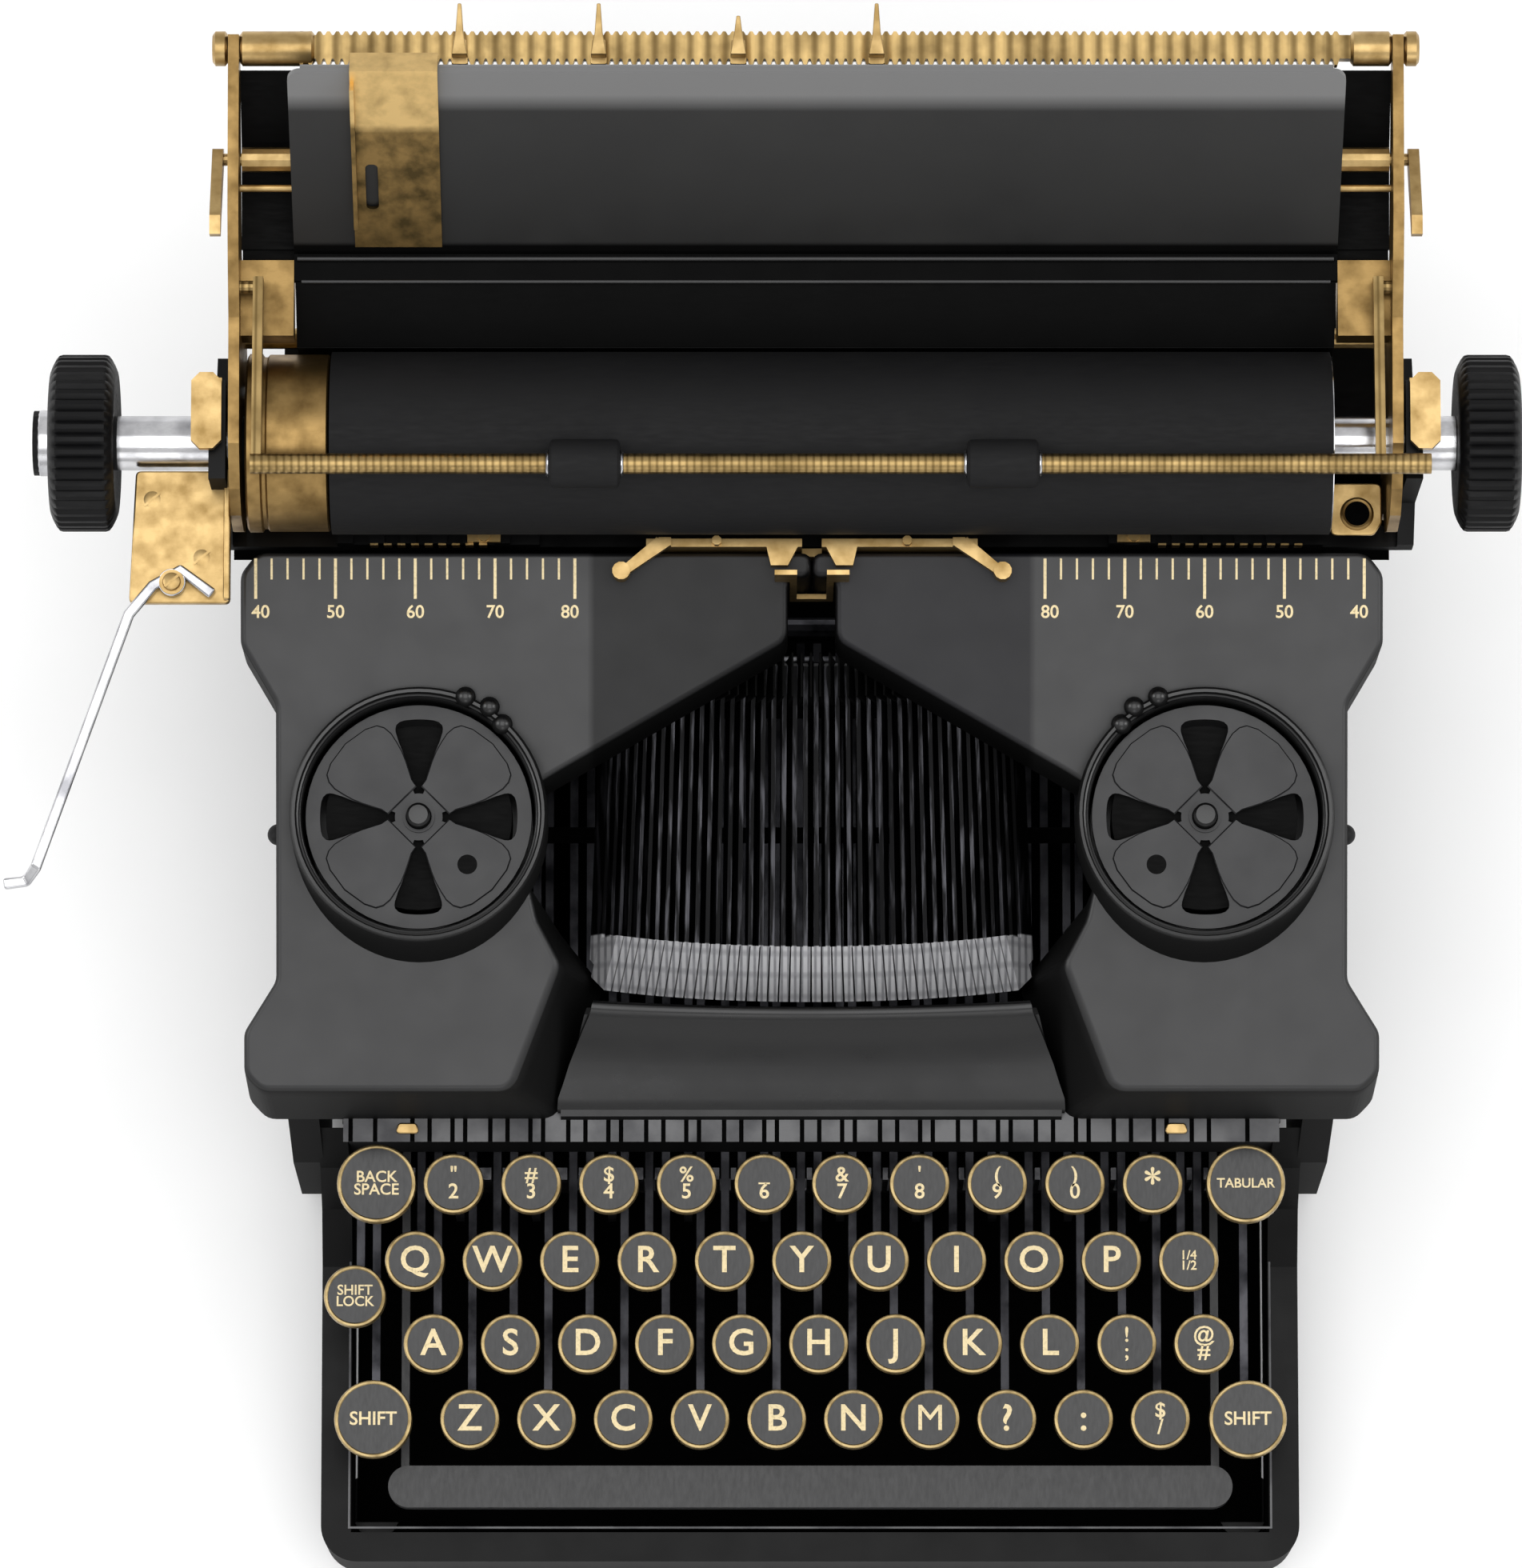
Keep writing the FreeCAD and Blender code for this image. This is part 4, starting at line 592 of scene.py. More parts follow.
def linked(name: str, data: bpy.types.ID) -> Obj:
    """A new object with its data, linked to the scene."""
    obj = bpy.data.objects.new(name, data)
    bpy.context.scene.collection.objects.link(obj)
    return obj


def tie(piece: Obj, body: str, node: str = "") -> None:
    """Tie a piece to what it rides on, and show it instead of a CAD node if one is given."""
    if node:
        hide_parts(node)
    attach(piece, body)


def new_object(name: str, mesh: bpy.types.Mesh, material: Material, smooth: float = 35.0) -> Obj:
    """Link a new object that shows a mesh.

    Args:
        name: object name.
        mesh: its mesh, in metres.
        material: its finish.
        smooth: edges sharper than this angle in degrees stay sharp.

    Returns:
        The object.
    """
    if not mesh.materials:
        mesh.materials.append(material)
    obj = linked(name, mesh)
    mesh.shade_smooth()
    mesh.set_sharp_from_angle(angle=math.radians(smooth))
    return obj


def lathe(profile: Profile, steps: int = 48) -> BMesh:
    """Turn a profile about Z.

    Args:
        profile: points of radius and height in millimetres.
        steps: number of facets round the axis.

    Returns:
        The turned mesh, in metres.
    """
    mesh = bmesh.new()
    turns = [2 * math.pi * i / steps for i in range(steps)]
    rings: list[list[Vert]] = []
    for r, h in profile:
        if r < 1e-6:
            rings.append([mesh.verts.new((0.0, 0.0, h * MM))])
            continue
        rings.append([mesh.verts.new((r * MM * math.cos(a), r * MM * math.sin(a), h * MM)) for a in turns])
    for lower, upper in zip(rings, rings[1:]):
        for i in range(steps):
            k = (i + 1) % steps
            foot = [lower[i % len(lower)], lower[k % len(lower)]]
            head = [upper[k % len(upper)], upper[i % len(upper)]]
            unique = list(dict.fromkeys(foot + head))
            if len(unique) > 2:
                mesh.faces.new(unique)
    bmesh.ops.recalc_face_normals(mesh, faces=mesh.faces)
    return mesh


def skin(mesh: BMesh, rings: Sequence[Sequence[Vert]], closed: bool = True, caps: Sequence[int] = ()) -> None:
    """Join each ring of points to the next, and face all faces outwards.

    Args:
        mesh: the mesh that the points are in.
        rings: rows of the same number of points.
        closed: whether a row's last point is joined to its first.
        caps: numbers of the rows that are filled.
    """
    for lower, upper in zip(rings, rings[1:]):
        for i in range(len(lower) if closed else len(lower) - 1):
            k = (i + 1) % len(lower)
            mesh.faces.new([lower[i], lower[k], upper[k], upper[i]])
    for number in caps:
        mesh.faces.new(rings[number])
    bmesh.ops.recalc_face_normals(mesh, faces=mesh.faces)


def box(x0: float, x1: float, y0: float, y1: float) -> list[Point]:
    """Corners of an upright rectangle."""
    return [(x0, y0), (x1, y0), (x1, y1), (x0, y1)]


def prism(outline: Iterable[Point], low: float, high: float) -> BMesh:
    """Upright prism of an outline in the maker's frame, in metres of the row frame."""
    mesh = bmesh.new()
    points = list(outline)
    foot = [mesh.verts.new(place(x, y, low)) for x, y in points]
    top = [mesh.verts.new(place(x, y, high)) for x, y in points]
    mesh.faces.new(foot)
    mesh.faces.new(top)
    skin(mesh, [foot, top])
    return mesh


def to_mesh(name: str, *parts: BMesh) -> bpy.types.Mesh:
    """Join parts into one mesh and free them."""
    mesh = bpy.data.meshes.new(name)
    whole = bmesh.new()
    for part in parts:
        part.to_mesh(mesh)
        part.free()
        whole.from_mesh(mesh)
    whole.to_mesh(mesh)
    whole.free()
    return mesh


def built(name: str, material: Material, *parts: BMesh, smooth: float = 35.0) -> Obj:
    """A new object made of parts."""
    return new_object(name, to_mesh(name, *parts), material, smooth)


def turned(name: str, profile: Profile, at: Vector, material: Material, axis: Axis = Axis.Z,
           steps: int = 48) -> Obj:
    """A turned piece standing at a place on an axis.

    Args:
        name: object name.
        profile: points of radius and height in millimetres.
        at: place of the profile's zero, in the row frame.
        material: its finish.
        axis: axis that it is turned about.
        steps: facets round the axis.

    Returns:
        The object, with its place in its vertices.
    """
    mesh = to_mesh(name, lathe(profile, steps))
    mesh.transform(Matrix.Translation(at) @ Matrix.Rotation(axis.value, 4, "Y"))
    return new_object(name, mesh, material)


def soften(outline: Sequence[Point], radius: float, steps: int = 4) -> list[Point]:
    """Round the corners of a closed outline.

    Args:
        outline: corners.
        radius: radius of each round, in millimetres.
        steps: points on each round, less one.

    Returns:
        The outline with rounded corners.
    """
    smooth: list[Point] = []
    for i, corner in enumerate(outline):
        here = Vector(corner)
        back = Vector(outline[i - 1]) - here
        ahead = Vector(outline[(i + 1) % len(outline)]) - here
        half = back.angle(ahead) / 2
        reach = min(radius / math.tan(half), back.length * CORNER_REACH, ahead.length * CORNER_REACH)
        start = here + back.normalized() * reach
        end = here + ahead.normalized() * reach
        for k in range(steps + 1):
            t = k / steps
            point = start.lerp(here, t).lerp(here.lerp(end, t), t)
            smooth.append((point.x, point.y))
    return smooth


def rounded(obj: Obj, width: float, segments: int = 3, angle: float = 32.0) -> Obj:
    """Round an object's sharp edges by a width in millimetres."""
    bevel = obj.modifiers.new("round", "BEVEL")
    bevel.width = width * MM
    bevel.segments = segments
    bevel.limit_method = "ANGLE"
    bevel.angle_limit = math.radians(angle)
    bevel.harden_normals = True
    return obj


def lettering(name: str, words: str, size: float, at: Vector, material: Material,
              turn: Matrix | None = None, thick: float = 0.05) -> Obj:
    """Raised lettering that lies flat, centred on a place.

    Args:
        name: object name.
        words: text, with line breaks.
        size: height of the type in millimetres.
        at: its middle, in the row frame.
        material: its finish.
        turn: rotation from lying flat.
        thick: how far it is raised, in millimetres.

    Returns:
        The lettering as a mesh object.
    """
    curve = bpy.data.curves.new(name, "FONT")
    curve.body = words
    curve.size = size * MM
    curve.align_x = "CENTER"
    curve.align_y = "CENTER"
    curve.space_line = LINE_SPACE
    curve.extrude = thick * MM
    curve.offset = 0.0 if "M" in words else size * MM * TYPE_WEIGHT
    curve.resolution_u = 4
    probe = linked(name, curve)
    bpy.context.view_layer.update()
    mesh = bpy.data.meshes.new_from_object(probe.evaluated_get(bpy.context.evaluated_depsgraph_get()))
    bpy.data.objects.remove(probe)
    mesh.transform(Matrix.Translation(at) @ (turn or Matrix.Identity(4)))
    mesh.materials.clear()
    return new_object(name, mesh, material)


class Dress(Generic[Sizes]):
    """One group of pieces, with its sizes and the finishes that it wears."""

    def __init__(self, sizes: Sizes, finishes: Finishes) -> None:
        self.sizes = sizes
        self.finishes = finishes


# Keyboard

@dataclass(frozen=True)
class KeyRow:
    """One row of keys: where it starts, how deep and high it lies, and its legends."""

    first: float
    depth: float
    top: float
    legends: tuple[str, ...]


@dataclass(frozen=True)
class OddKey:
    """A key that stands outside the rows."""

    body: str
    x: float
    y: float
    top: float
    radius: float
    legend: str
    type_size: float


@dataclass(frozen=True)
class KeyboardSizes:
    """Places of the keys and the section of their rings."""

    pitch: float = 19.05
    radius: float = 7.1
    letter: float = 9.2
    sign: float = 5.2
    fraction: float = 3.2
    legend_rise: float = 0.16
    ring_height: float = 3.4
    ring_width: float = 0.8
    columns: int = 10
    striking: tuple[int, int] = (1, 5)
    rows: tuple[KeyRow, ...] = (
        KeyRow(-84.6, 33.4, 62.0, ("Z", "X", "C", "V", "B", "N", "M", "?", ":", "$\n/")),
        KeyRow(-93.3, 50.8, 75.5, ("A", "S", "D", "F", "G", "H", "J", "K", "L", "!\n;", "@\n#")),
        KeyRow(-97.5, 69.9, 89.0, ("Q", "W", "E", "R", "T", "Y", "U", "I", "O", "P", "1/4\n1/2")),
        KeyRow(-87.7, 87.4, 102.5, ("\"\n2", "#\n3", "$\n4", "%\n5", "_\n6", "&\n7", "'\n8", "(\n9", ")\n0", "*")),
    )
    odd: tuple[OddKey, ...] = (
        OddKey("shifter", -108.6, 33.4, 62.0, 9.4, "SHIFT", 4.7),
        OddKey("shifter", 108.6, 33.4, 62.0, 9.4, "SHIFT", 4.7),
        OddKey("locker", -112.6, 62.1, 80.0, 7.4, "SHIFT\nLOCK", 3.5),
        OddKey("backspacer", -106.6, 87.4, 102.5, 9.4, "BACK\nSPACE", 3.9),
        OddKey("tabulator", 106.6, 87.4, 102.5, 9.4, "TABULAR", 3.3),
    )


class Keyboard(Dress[KeyboardSizes]):
    """Rings, glossy tops and legends of all the keys, each riding on its own key."""

    def __init__(self, sizes: KeyboardSizes, finishes: Finishes) -> None:
        super().__init__(sizes, finishes)
        self.shared: dict[tuple[str, float], bpy.types.Mesh] = {}

    def body_of(self, row: int, index: int) -> str:
        """Name the CAD body that a key in a row belongs to."""
        if (row, index) == self.sizes.striking:
            return "striker_key"
        return f"keys_{min(index, self.sizes.columns - 1) + 1}"

    def turned_mesh(self, kind: str, radius: float) -> bpy.types.Mesh:
        """Mesh of a ring or a top of one radius, shared by the keys of that size."""
        made = self.shared.get((kind, radius))
        if made is None:
            w = self.sizes.ring_width
            low = -self.sizes.ring_height
            profiles = {
                "ring": [(radius + 0.05, low), (radius + 0.3, low + 0.3), (radius + 0.3, -0.2),
                         (radius + 0.12, 0.28), (radius - w * 0.4, 0.42), (radius - w * 0.85, 0.3),
                         (radius - w, 0.02)],
                "top": [(radius - w + 0.1, 0.02), (radius - w + 0.1, 0.16), (radius * 0.6, 0.1), (0.0, 0.06)],
            }
            made = to_mesh(f"key_{kind}", lathe(profiles[kind], 40))
            self.shared[(kind, radius)] = made
        return made

    def dress_key(self, name: str, body: str, at: Vector, radius: float, legend: str,
                  type_size: float) -> None:
        """Put the ring, top and legend on one key."""
        for kind, material in (("ring", self.finishes.ring), ("top", self.finishes.key)):
            piece = new_object(f"{name}_{kind}", self.turned_mesh(kind, radius), material, 50.0)
            piece.location = at
            tie(piece, body)
        above = Vector((0, 0, self.sizes.legend_rise * MM))
        tie(lettering(f"{name}_legend", legend, type_size, at + above, self.finishes.ink), body)

    def build(self) -> None:
        """Dress every key."""
        s = self.sizes
        for r, row in enumerate(s.rows):
            for i, legend in enumerate(row.legends):
                size = s.letter if len(legend) == 1 else s.sign if len(legend) < 5 else s.fraction
                at = place(row.first + s.pitch * i, row.depth, row.top)
                self.dress_key(f"key_{r}_{i}", self.body_of(r, i), at, s.radius, legend, size)
        for i, key in enumerate(s.odd):
            at = place(key.x, key.y, key.top)
            self.dress_key(f"odd_key_{i}", key.body, at, key.radius, key.legend, key.type_size)
        log.info("keys dressed: %d", sum(len(row.legends) for row in s.rows) + len(s.odd))


# Covers with their scales

@dataclass(frozen=True)
class CoverSizes:
    """Outline of the left cover, the slope of its top and the scale along its back edge.

    lean gives the steps that some corners of the foot stand off those of the top. sharp is the least angle of an
    edge that is rounded, in radians.
    """

    front_y: float = 105.8
    back_y: float = 233.9
    front_z: float = 138.0
    back_z: float = 162.0
    drop: float = 24.6
    round_over: float = 3.8
    corner: float = 5.0
    sharp: float = 0.6
    hole_band: float = 0.5
    cup: tuple[float, float, float] = (-95.0, 170.4, 31.3)
    top: tuple[Point, ...] = (
        (-0.1, 233.9), (-134.2, 233.9), (-138.2, 228.9), (-138.2, 212.0), (-129.7, 197.8), (-129.7, 132.1),
        (-137.5, 119.8), (-137.5, 109.8), (-133.5, 105.8), (-73.0, 105.8), (-61.2, 136.0), (-66.6, 146.6),
        (-68.4, 155.0), (-67.6, 178.0), (-61.5, 181.7), (-5.8, 213.0), (-5.8, 228.0), (-0.1, 228.0))
    lean: tuple[tuple[int, float, float], ...] = (
        (7, 0.0, -3.0), (8, 0.6, -3.8), (9, 10.6, -3.8), (10, 10.4, -2.4), (11, 5.6, -0.6))
    sheet: float = 1.6
    scale_left: float = -134.5
    scale_right: float = -133.6
    scale_y: float = 232.4
    scale_pitch: float = 3.86
    scale_major: int = 5
    long_line: Point = (9.6, 0.36)
    short_line: Point = (5.0, 0.26)
    paint: float = 0.06
    figures: tuple[tuple[str, float], ...] = (("40", 1.2), ("50", 0.0), ("60", 0.0), ("70", 0.0), ("80", -1.2))
    figure_y: float = 219.6
    figure_size: float = 4.4

    def top_z(self, y: float) -> float:
        """Height of the cover's top at a depth."""
        return self.front_z + (y - self.front_y) * (self.back_z - self.front_z) / (self.back_y - self.front_y)


class Covers(Dress[CoverSizes]):
    """Both pressed covers, rounded at the edges, with their painted scales."""

    def shell(self, side: Side) -> Obj:
        """Build one cover as an open shell and round its upper edges.

        Args:
            side: which cover.

        Returns:
            The cover.
        """
        s = self.sizes
        foot = list(s.top)
        for i, dx, dy in s.lean:
            foot[i] = (foot[i][0] + dx, foot[i][1] + dy)
        flat = bmesh.new()
        sign = -side.value
        top_ring = [flat.verts.new((x, y, 0.0)) for x, y in soften(s.top, s.corner)]
        foot_ring = [flat.verts.new((x, y, -s.drop)) for x, y in soften(foot, s.corner)]
        flat.faces.new(top_ring)
        flat.faces.new(foot_ring)
        skin(flat, [top_ring, foot_ring])
        holed = self.cut_cup_hole(flat)
        weight = holed.edges.layers.float.new("bevel_weight_edge")
        for edge in holed.edges:
            middle = (edge.verts[0].co + edge.verts[1].co) / 2
            sharp = len(edge.link_faces) == 2 and edge.calc_face_angle(0.0) > s.sharp
            at_hole = (middle.xy - Vector(s.cup[:2])).length < s.cup[2] + s.hole_band
            at_top = min(v.co.z for v in edge.verts) > -0.1
            if sharp and at_top and not at_hole:
                edge[weight] = 1.0
        open_foot = [f for f in holed.faces if f.normal.z < -0.9]
        bmesh.ops.delete(holed, geom=open_foot, context="FACES")
        for vert in holed.verts:
            x, y, z = vert.co
            vert.co = place(x * sign, y, s.top_z(y) + z)
        if sign < 0:
            bmesh.ops.reverse_faces(holed, faces=holed.faces)
        obj = built(f"cover_shell_{side.label}", self.finishes.enamel, holed)
        bevel = obj.modifiers.new("round", "BEVEL")
        bevel.width = s.round_over * MM
        bevel.segments = 5
        bevel.limit_method = "WEIGHT"
        bevel.harden_normals = True
        wall = obj.modifiers.new("wall", "SOLIDIFY")
        wall.thickness = s.sheet * MM
        wall.offset = -1.0
        return obj

    def cut_cup_hole(self, flat: BMesh) -> BMesh:
        """Cut the round hole of the ribbon cup through a flat cover.

        Args:
            flat: closed solid with its top at height 0, in millimetres. It is freed.

        Returns:
            The solid with the hole.
        """
        x, y, r = self.sizes.cup
        cutter = lathe([(0.0, -60.0), (r, -60.0), (r, 40.0), (0.0, 40.0)], 72)
        bmesh.ops.scale(cutter, vec=(1000, 1000, 1000), verts=cutter.verts)
        bmesh.ops.translate(cutter, vec=(x, y, 0), verts=cutter.verts)
        pair = []
        for name, part in (("flat_cover", flat), ("cup_cutter", cutter)):
            pair.append(linked(name, to_mesh(name, part)))
        cut = pair[0].modifiers.new("cut", "BOOLEAN")
        cut.object = pair[1]
        cut.operation = "DIFFERENCE"
        bpy.context.view_layer.update()
        result = bmesh.new()
        result.from_mesh(pair[0].evaluated_get(bpy.context.evaluated_depsgraph_get()).to_mesh())
        for obj in pair:
            bpy.data.objects.remove(obj)
        return result

    def scale(self, side: Side) -> list[Obj]:
        """Painted lines and figures along the back edge of one cover."""
        s = self.sizes
        first_x = s.scale_left if side is Side.LEFT else s.scale_right
        lines = []
        for i in range(s.scale_major * (len(s.figures) - 1) + 1):
            x = (first_x + s.scale_pitch * i) * -side.value
            length, half = s.long_line if i % s.scale_major == 0 else s.short_line
            part = bmesh.new()
            part.faces.new([part.verts.new(place(cx, cy, s.top_z(cy) + s.paint)) for cx, cy in
                            box(x - half, x + half, s.scale_y - length, s.scale_y)])
            lines.append(part)
        pieces = [built(f"scale_lines_{side.label}", self.finishes.ink, *lines)]
        slope = Matrix.Rotation(math.atan2(s.back_z - s.front_z, s.back_y - s.front_y), 4, "X")
        for i, (figure, nudge) in enumerate(s.figures):
            x = first_x + s.scale_major * s.scale_pitch * i + nudge
            x *= -side.value
            at = place(x, s.figure_y, s.top_z(s.figure_y) + s.paint)
            pieces.append(lettering(f"scale_figure_{side.label}_{figure}", figure, s.figure_size, at,
                                    self.finishes.ink, slope, 0.03))
        return pieces

    def build(self) -> None:
        """Build both covers and their scales."""
        for side in Side:
            tie(self.shell(side), "body", f"cover_{side.label}")
            for piece in self.scale(side):
                tie(piece, "body")
        log.info("covers built")


# Ribbon cups and spools

@dataclass(frozen=True)
class RibbonSizes:
    """Cup and spool of one side; X is that of the left side.

    flange and petal pair a radius with the share of window_half that a window has there.
    """

    x: float = -95.0
    y: float = 170.4
    cup_r: float = 31.0
    wall: float = 2.6
    lip: float = 159.1
    floor: float = 135.1
    spool_r: float = 27.4
    spool_low: float = 138.9
    spool_high: float = 153.9
    sheet: float = 0.7
    hub_r: float = 5.6
    ribbon_r: float = 22.5
    window_in: float = 5.8
    window_out: float = 23.8
    window_half: float = 14.0
    flange: tuple[Point, ...] = (
        (3.2, 0.62), (5.8, 0.7), (8.0, 0.95), (10.5, 0.92), (13.5, 0.92), (16.5, 0.98), (19.0, 1.06), (21.5, 1.08),
        (22.4, 1.05), (23.1, 0.98), (23.6, 0.84), (23.8, 0.62), (26.0, 0.62), (27.4, 0.62))
    petal: tuple[Point, ...] = (
        (7.4, 0.30), (9.0, 0.72), (11.5, 0.84), (14.0, 0.92), (16.5, 1.02), (19.0, 1.16), (21.5, 1.3), (23.4, 1.5),
        (24.6, 1.75))
    petal_middle: float = 16.5
    petal_reach: float = 12.0
    hole: Point = (11.8, -11.7)
    hole_r: float = 2.4
    collar: float = 3.2
    collar_bend: float = 1.6
    collar_gap: float = 0.12
    collar_top: float = 2.2
    collar_sink: float = 0.6
    clips: tuple[Point, ...] = ((-83.7, 199.0), (-77.9, 196.6), (-74.8, 192.5))


class RibbonDrive(Dress[RibbonSizes]):
    """Rolled-edge cups, petalled spools and the small clips beside them."""

    def __init__(self, sizes: RibbonSizes, cover: CoverSizes, finishes: Finishes) -> None:
        super().__init__(sizes, finishes)
        self.cover = cover

    def axis(self, side: Side) -> Vector:
        """Where a side's spool axis meets the table."""
        return place(-self.sizes.x * side.value, self.sizes.y, 0)

    def flange(self, z: float) -> BMesh:
        """Flange with four windows whose sides curve, in metres about its own axis."""
        s = self.sizes
        mesh = bmesh.new()
        steps = 24
        rings: list[list[Vert]] = []
        for r, share in s.flange:
            half = math.radians(s.window_half) * share
            rings.append([])
            for k in range(steps * 4):
                t = k % steps / steps
                base = math.pi / 2 * (k // steps)
                if t < 0.5:
                    angle = base + half * (t * 4 - 1)
                else:
                    angle = base + half + (math.pi / 2 - 2 * half) * (t - 0.5) * 2
                rings[-1].append(mesh.verts.new((r * MM * math.cos(angle), r * MM * math.sin(angle), z * MM)))
        total = steps * 4
        for i, (lower, upper) in enumerate(zip(rings, rings[1:])):
            windowed = s.window_in <= s.flange[i][0] and s.flange[i + 1][0] <= s.window_out
            for k in range(total):
                if windowed and k % steps < steps // 2:
                    continue
                n = (k + 1) % total
                mesh.faces.new([lower[k], lower[n], upper[n], upper[k]])
        return mesh

    def petal(self, quarter: int) -> BMesh:
        """One raised petal between two windows, in metres about the spool's axis."""
        s = self.sizes
        half = math.radians(s.window_half)
        middle = math.radians(45.0 + 90.0 * quarter)
        wide = math.radians(45.0)
        outline = [(r, middle - (wide - half * share)) for r, share in s.petal]
        outline += [(25.1, middle - 0.24), (25.3, middle), (25.1, middle + 0.24)]
        outline += [(r, middle + (wide - half * share)) for r, share in reversed(s.petal)]
        mesh = bmesh.new()
        low = s.spool_high - 0.3
        high = s.spool_high + 0.5
        rings = []
        for z, inset in ((low, 0.0), (high - 0.25, 0.0), (high, 0.35)):
            ring = []
            for r, angle in outline:
                x = r * math.cos(angle)
                y = r * math.sin(angle)
                pull = inset / s.petal_reach
                x += (s.petal_middle * math.cos(middle) - x) * pull
                y += (s.petal_middle * math.sin(middle) - y) * pull
                ring.append(mesh.verts.new((x * MM, y * MM, z * MM)))
            rings.append(ring)
        skin(mesh, rings, caps=[-1])
        return mesh

    def petals(self, side: Side) -> Obj:
        """The four raised petals of one spool."""
        name = f"spool_petals_{side.label}"
        mesh = to_mesh(name, *[self.petal(quarter) for quarter in range(4)])
        mesh.transform(Matrix.Translation(self.axis(side)))
        return new_object(name, mesh, self.finishes.spool, 24.0)

    def inside(self, side: Side) -> list[Obj]:
        """Wound ribbon, dark hole and hub cap of one spool."""
        s = self.sizes
        at = self.axis(side)
        label = side.label
        wound = [(s.hub_r + 0.1, s.spool_low + 1.2), (s.ribbon_r, s.spool_low + 1.2),
                 (s.ribbon_r, s.spool_high - 1.6), (s.hub_r + 0.1, s.spool_high - 1.6)]
        roll = turned(f"ribbon_roll_{label}", wound, at, self.finishes.ribbon)
        x, y = s.hole
        top = s.spool_high + 0.51
        hole = turned(f"spool_hole_{label}", [(0.0, top), (s.hole_r, top), (s.hole_r, top - 0.4)],
                      place(-s.x * side.value - x * side.value, s.y + y, 0), self.finishes.ribbon, steps=32)
        cap = turned(f"spool_hub_{label}", [(3.15, s.spool_high + 0.1), (3.9, s.spool_high + 0.1),
                                            (3.9, s.spool_high + 0.5), (3.15, s.spool_high + 0.5)], at,
                     self.finishes.spool, steps=40)
        return [roll, hole, cap]

    def collar(self, side: Side) -> Obj:
        """Skirt from the cup's rim down to the cover, set forward at its foot."""
        s = self.sizes
        mesh = bmesh.new()
        rings = []
        steps = 72
        for share in (0.0, 0.12, 0.35, 0.6, 0.82, 0.94, 1.0):
            ring = []
            for i in range(steps):
                angle = 2 * math.pi * i / steps
                forward = max(0.0, -math.sin(angle)) * s.collar * share ** s.collar_bend
                x = s.x + (s.cup_r + s.collar_gap) * math.cos(angle)
                y = s.y + (s.cup_r + s.collar_gap) * math.sin(angle) - forward
                high = s.lip - s.collar_top
                low = min(self.cover.top_z(y) - s.collar_sink, high)
                ring.append(mesh.verts.new(place(x * -side.value, y, high + (low - high) * share)))
            rings.append(ring)
        skin(mesh, rings)
        return built(f"cup_collar_{side.label}", self.finishes.cup, mesh, smooth=80.0)

    def spool(self, side: Side) -> Obj:
        """One spool: hub, plain lower flange and petalled upper flange."""
        s = self.sizes
        core = lathe([(3.1, s.spool_low), (s.hub_r, s.spool_low), (s.spool_r, s.spool_low + 0.2),
                      (s.spool_r, s.spool_low + 0.9), (s.hub_r, s.spool_low + 1.1), (s.hub_r, s.spool_high - 1.2),
                      (3.1, s.spool_high - 1.2)], 64)
        name = f"spool_body_{side.label}"
        mesh = to_mesh(name, core, self.flange(s.spool_high - 0.7))
        mesh.transform(Matrix.Translation(self.axis(side)))
        obj = new_object(name, mesh, self.finishes.spool)
        wall = obj.modifiers.new("sheet", "SOLIDIFY")
        wall.thickness = s.sheet * MM
        wall.offset = -1.0
        return rounded(obj, 0.25, 2)

    def cup(self, side: Side) -> Obj:
        """One cup with a rolled rim and the spool's post."""
        s = self.sizes
        r = s.cup_r
        inner = r - s.wall
        lip = s.lip
        profile = [(0.0, s.floor), (r - 1.0, s.floor), (r, s.floor + 1.0), (r, lip - 3.4), (r + 0.2, lip - 2.2),
                   (r + 0.1, lip - 0.9), (r - 0.5, lip - 0.1), (r - 1.2, lip - 0.2), (r - 1.6, lip - 1.3),
                   (r - 2.0, lip - 1.5), (inner + 0.1, lip - 1.3), (inner - 0.2, lip - 1.9),
                   (inner, lip - 3.0), (inner, s.floor + 2.6), (inner - 1.0, s.floor + 1.8), (4.0, s.floor + 1.8),
                   (2.9, s.floor + 2.4), (2.9, lip - 1.6), (2.3, lip - 1.0), (0.0, lip - 0.8)]
        return turned(f"cup_{side.label}", profile, self.axis(side), self.finishes.cup,
                      steps=72)

    def clip(self, side: Side, number: int) -> Obj:
        """One small round-headed clip beside the cup."""
        x, y = self.sizes.clips[number]
        base = self.cover.top_z(y)
        profile = [(1.5, base - 0.6), (1.5, base + 1.2), (2.2, base + 2.0), (2.5, base + 3.2), (2.1, base + 4.6),
                   (1.2, base + 5.5), (0.0, base + 5.8)]
        return turned(f"clip_{side.label}_{number}", profile, place(-x * side.value, y, 0),
                      self.finishes.cup, steps=20)

    def build(self) -> None:
        """Build both sides."""
        for side in Side:
            tie(self.cup(side), "body", "ribbon_cups")
        for side in Side:
            tie(self.spool(side), f"spool_{side.label[0]}", f"spool_{side.label}")
            for piece in [self.petals(side), *self.inside(side)]:
                tie(piece, f"spool_{side.label[0]}")
            tie(self.collar(side), "body")
            for number in range(len(self.sizes.clips)):
                tie(self.clip(side, number), "body")
        log.info("ribbon cups and spools built")


# Carriage dress

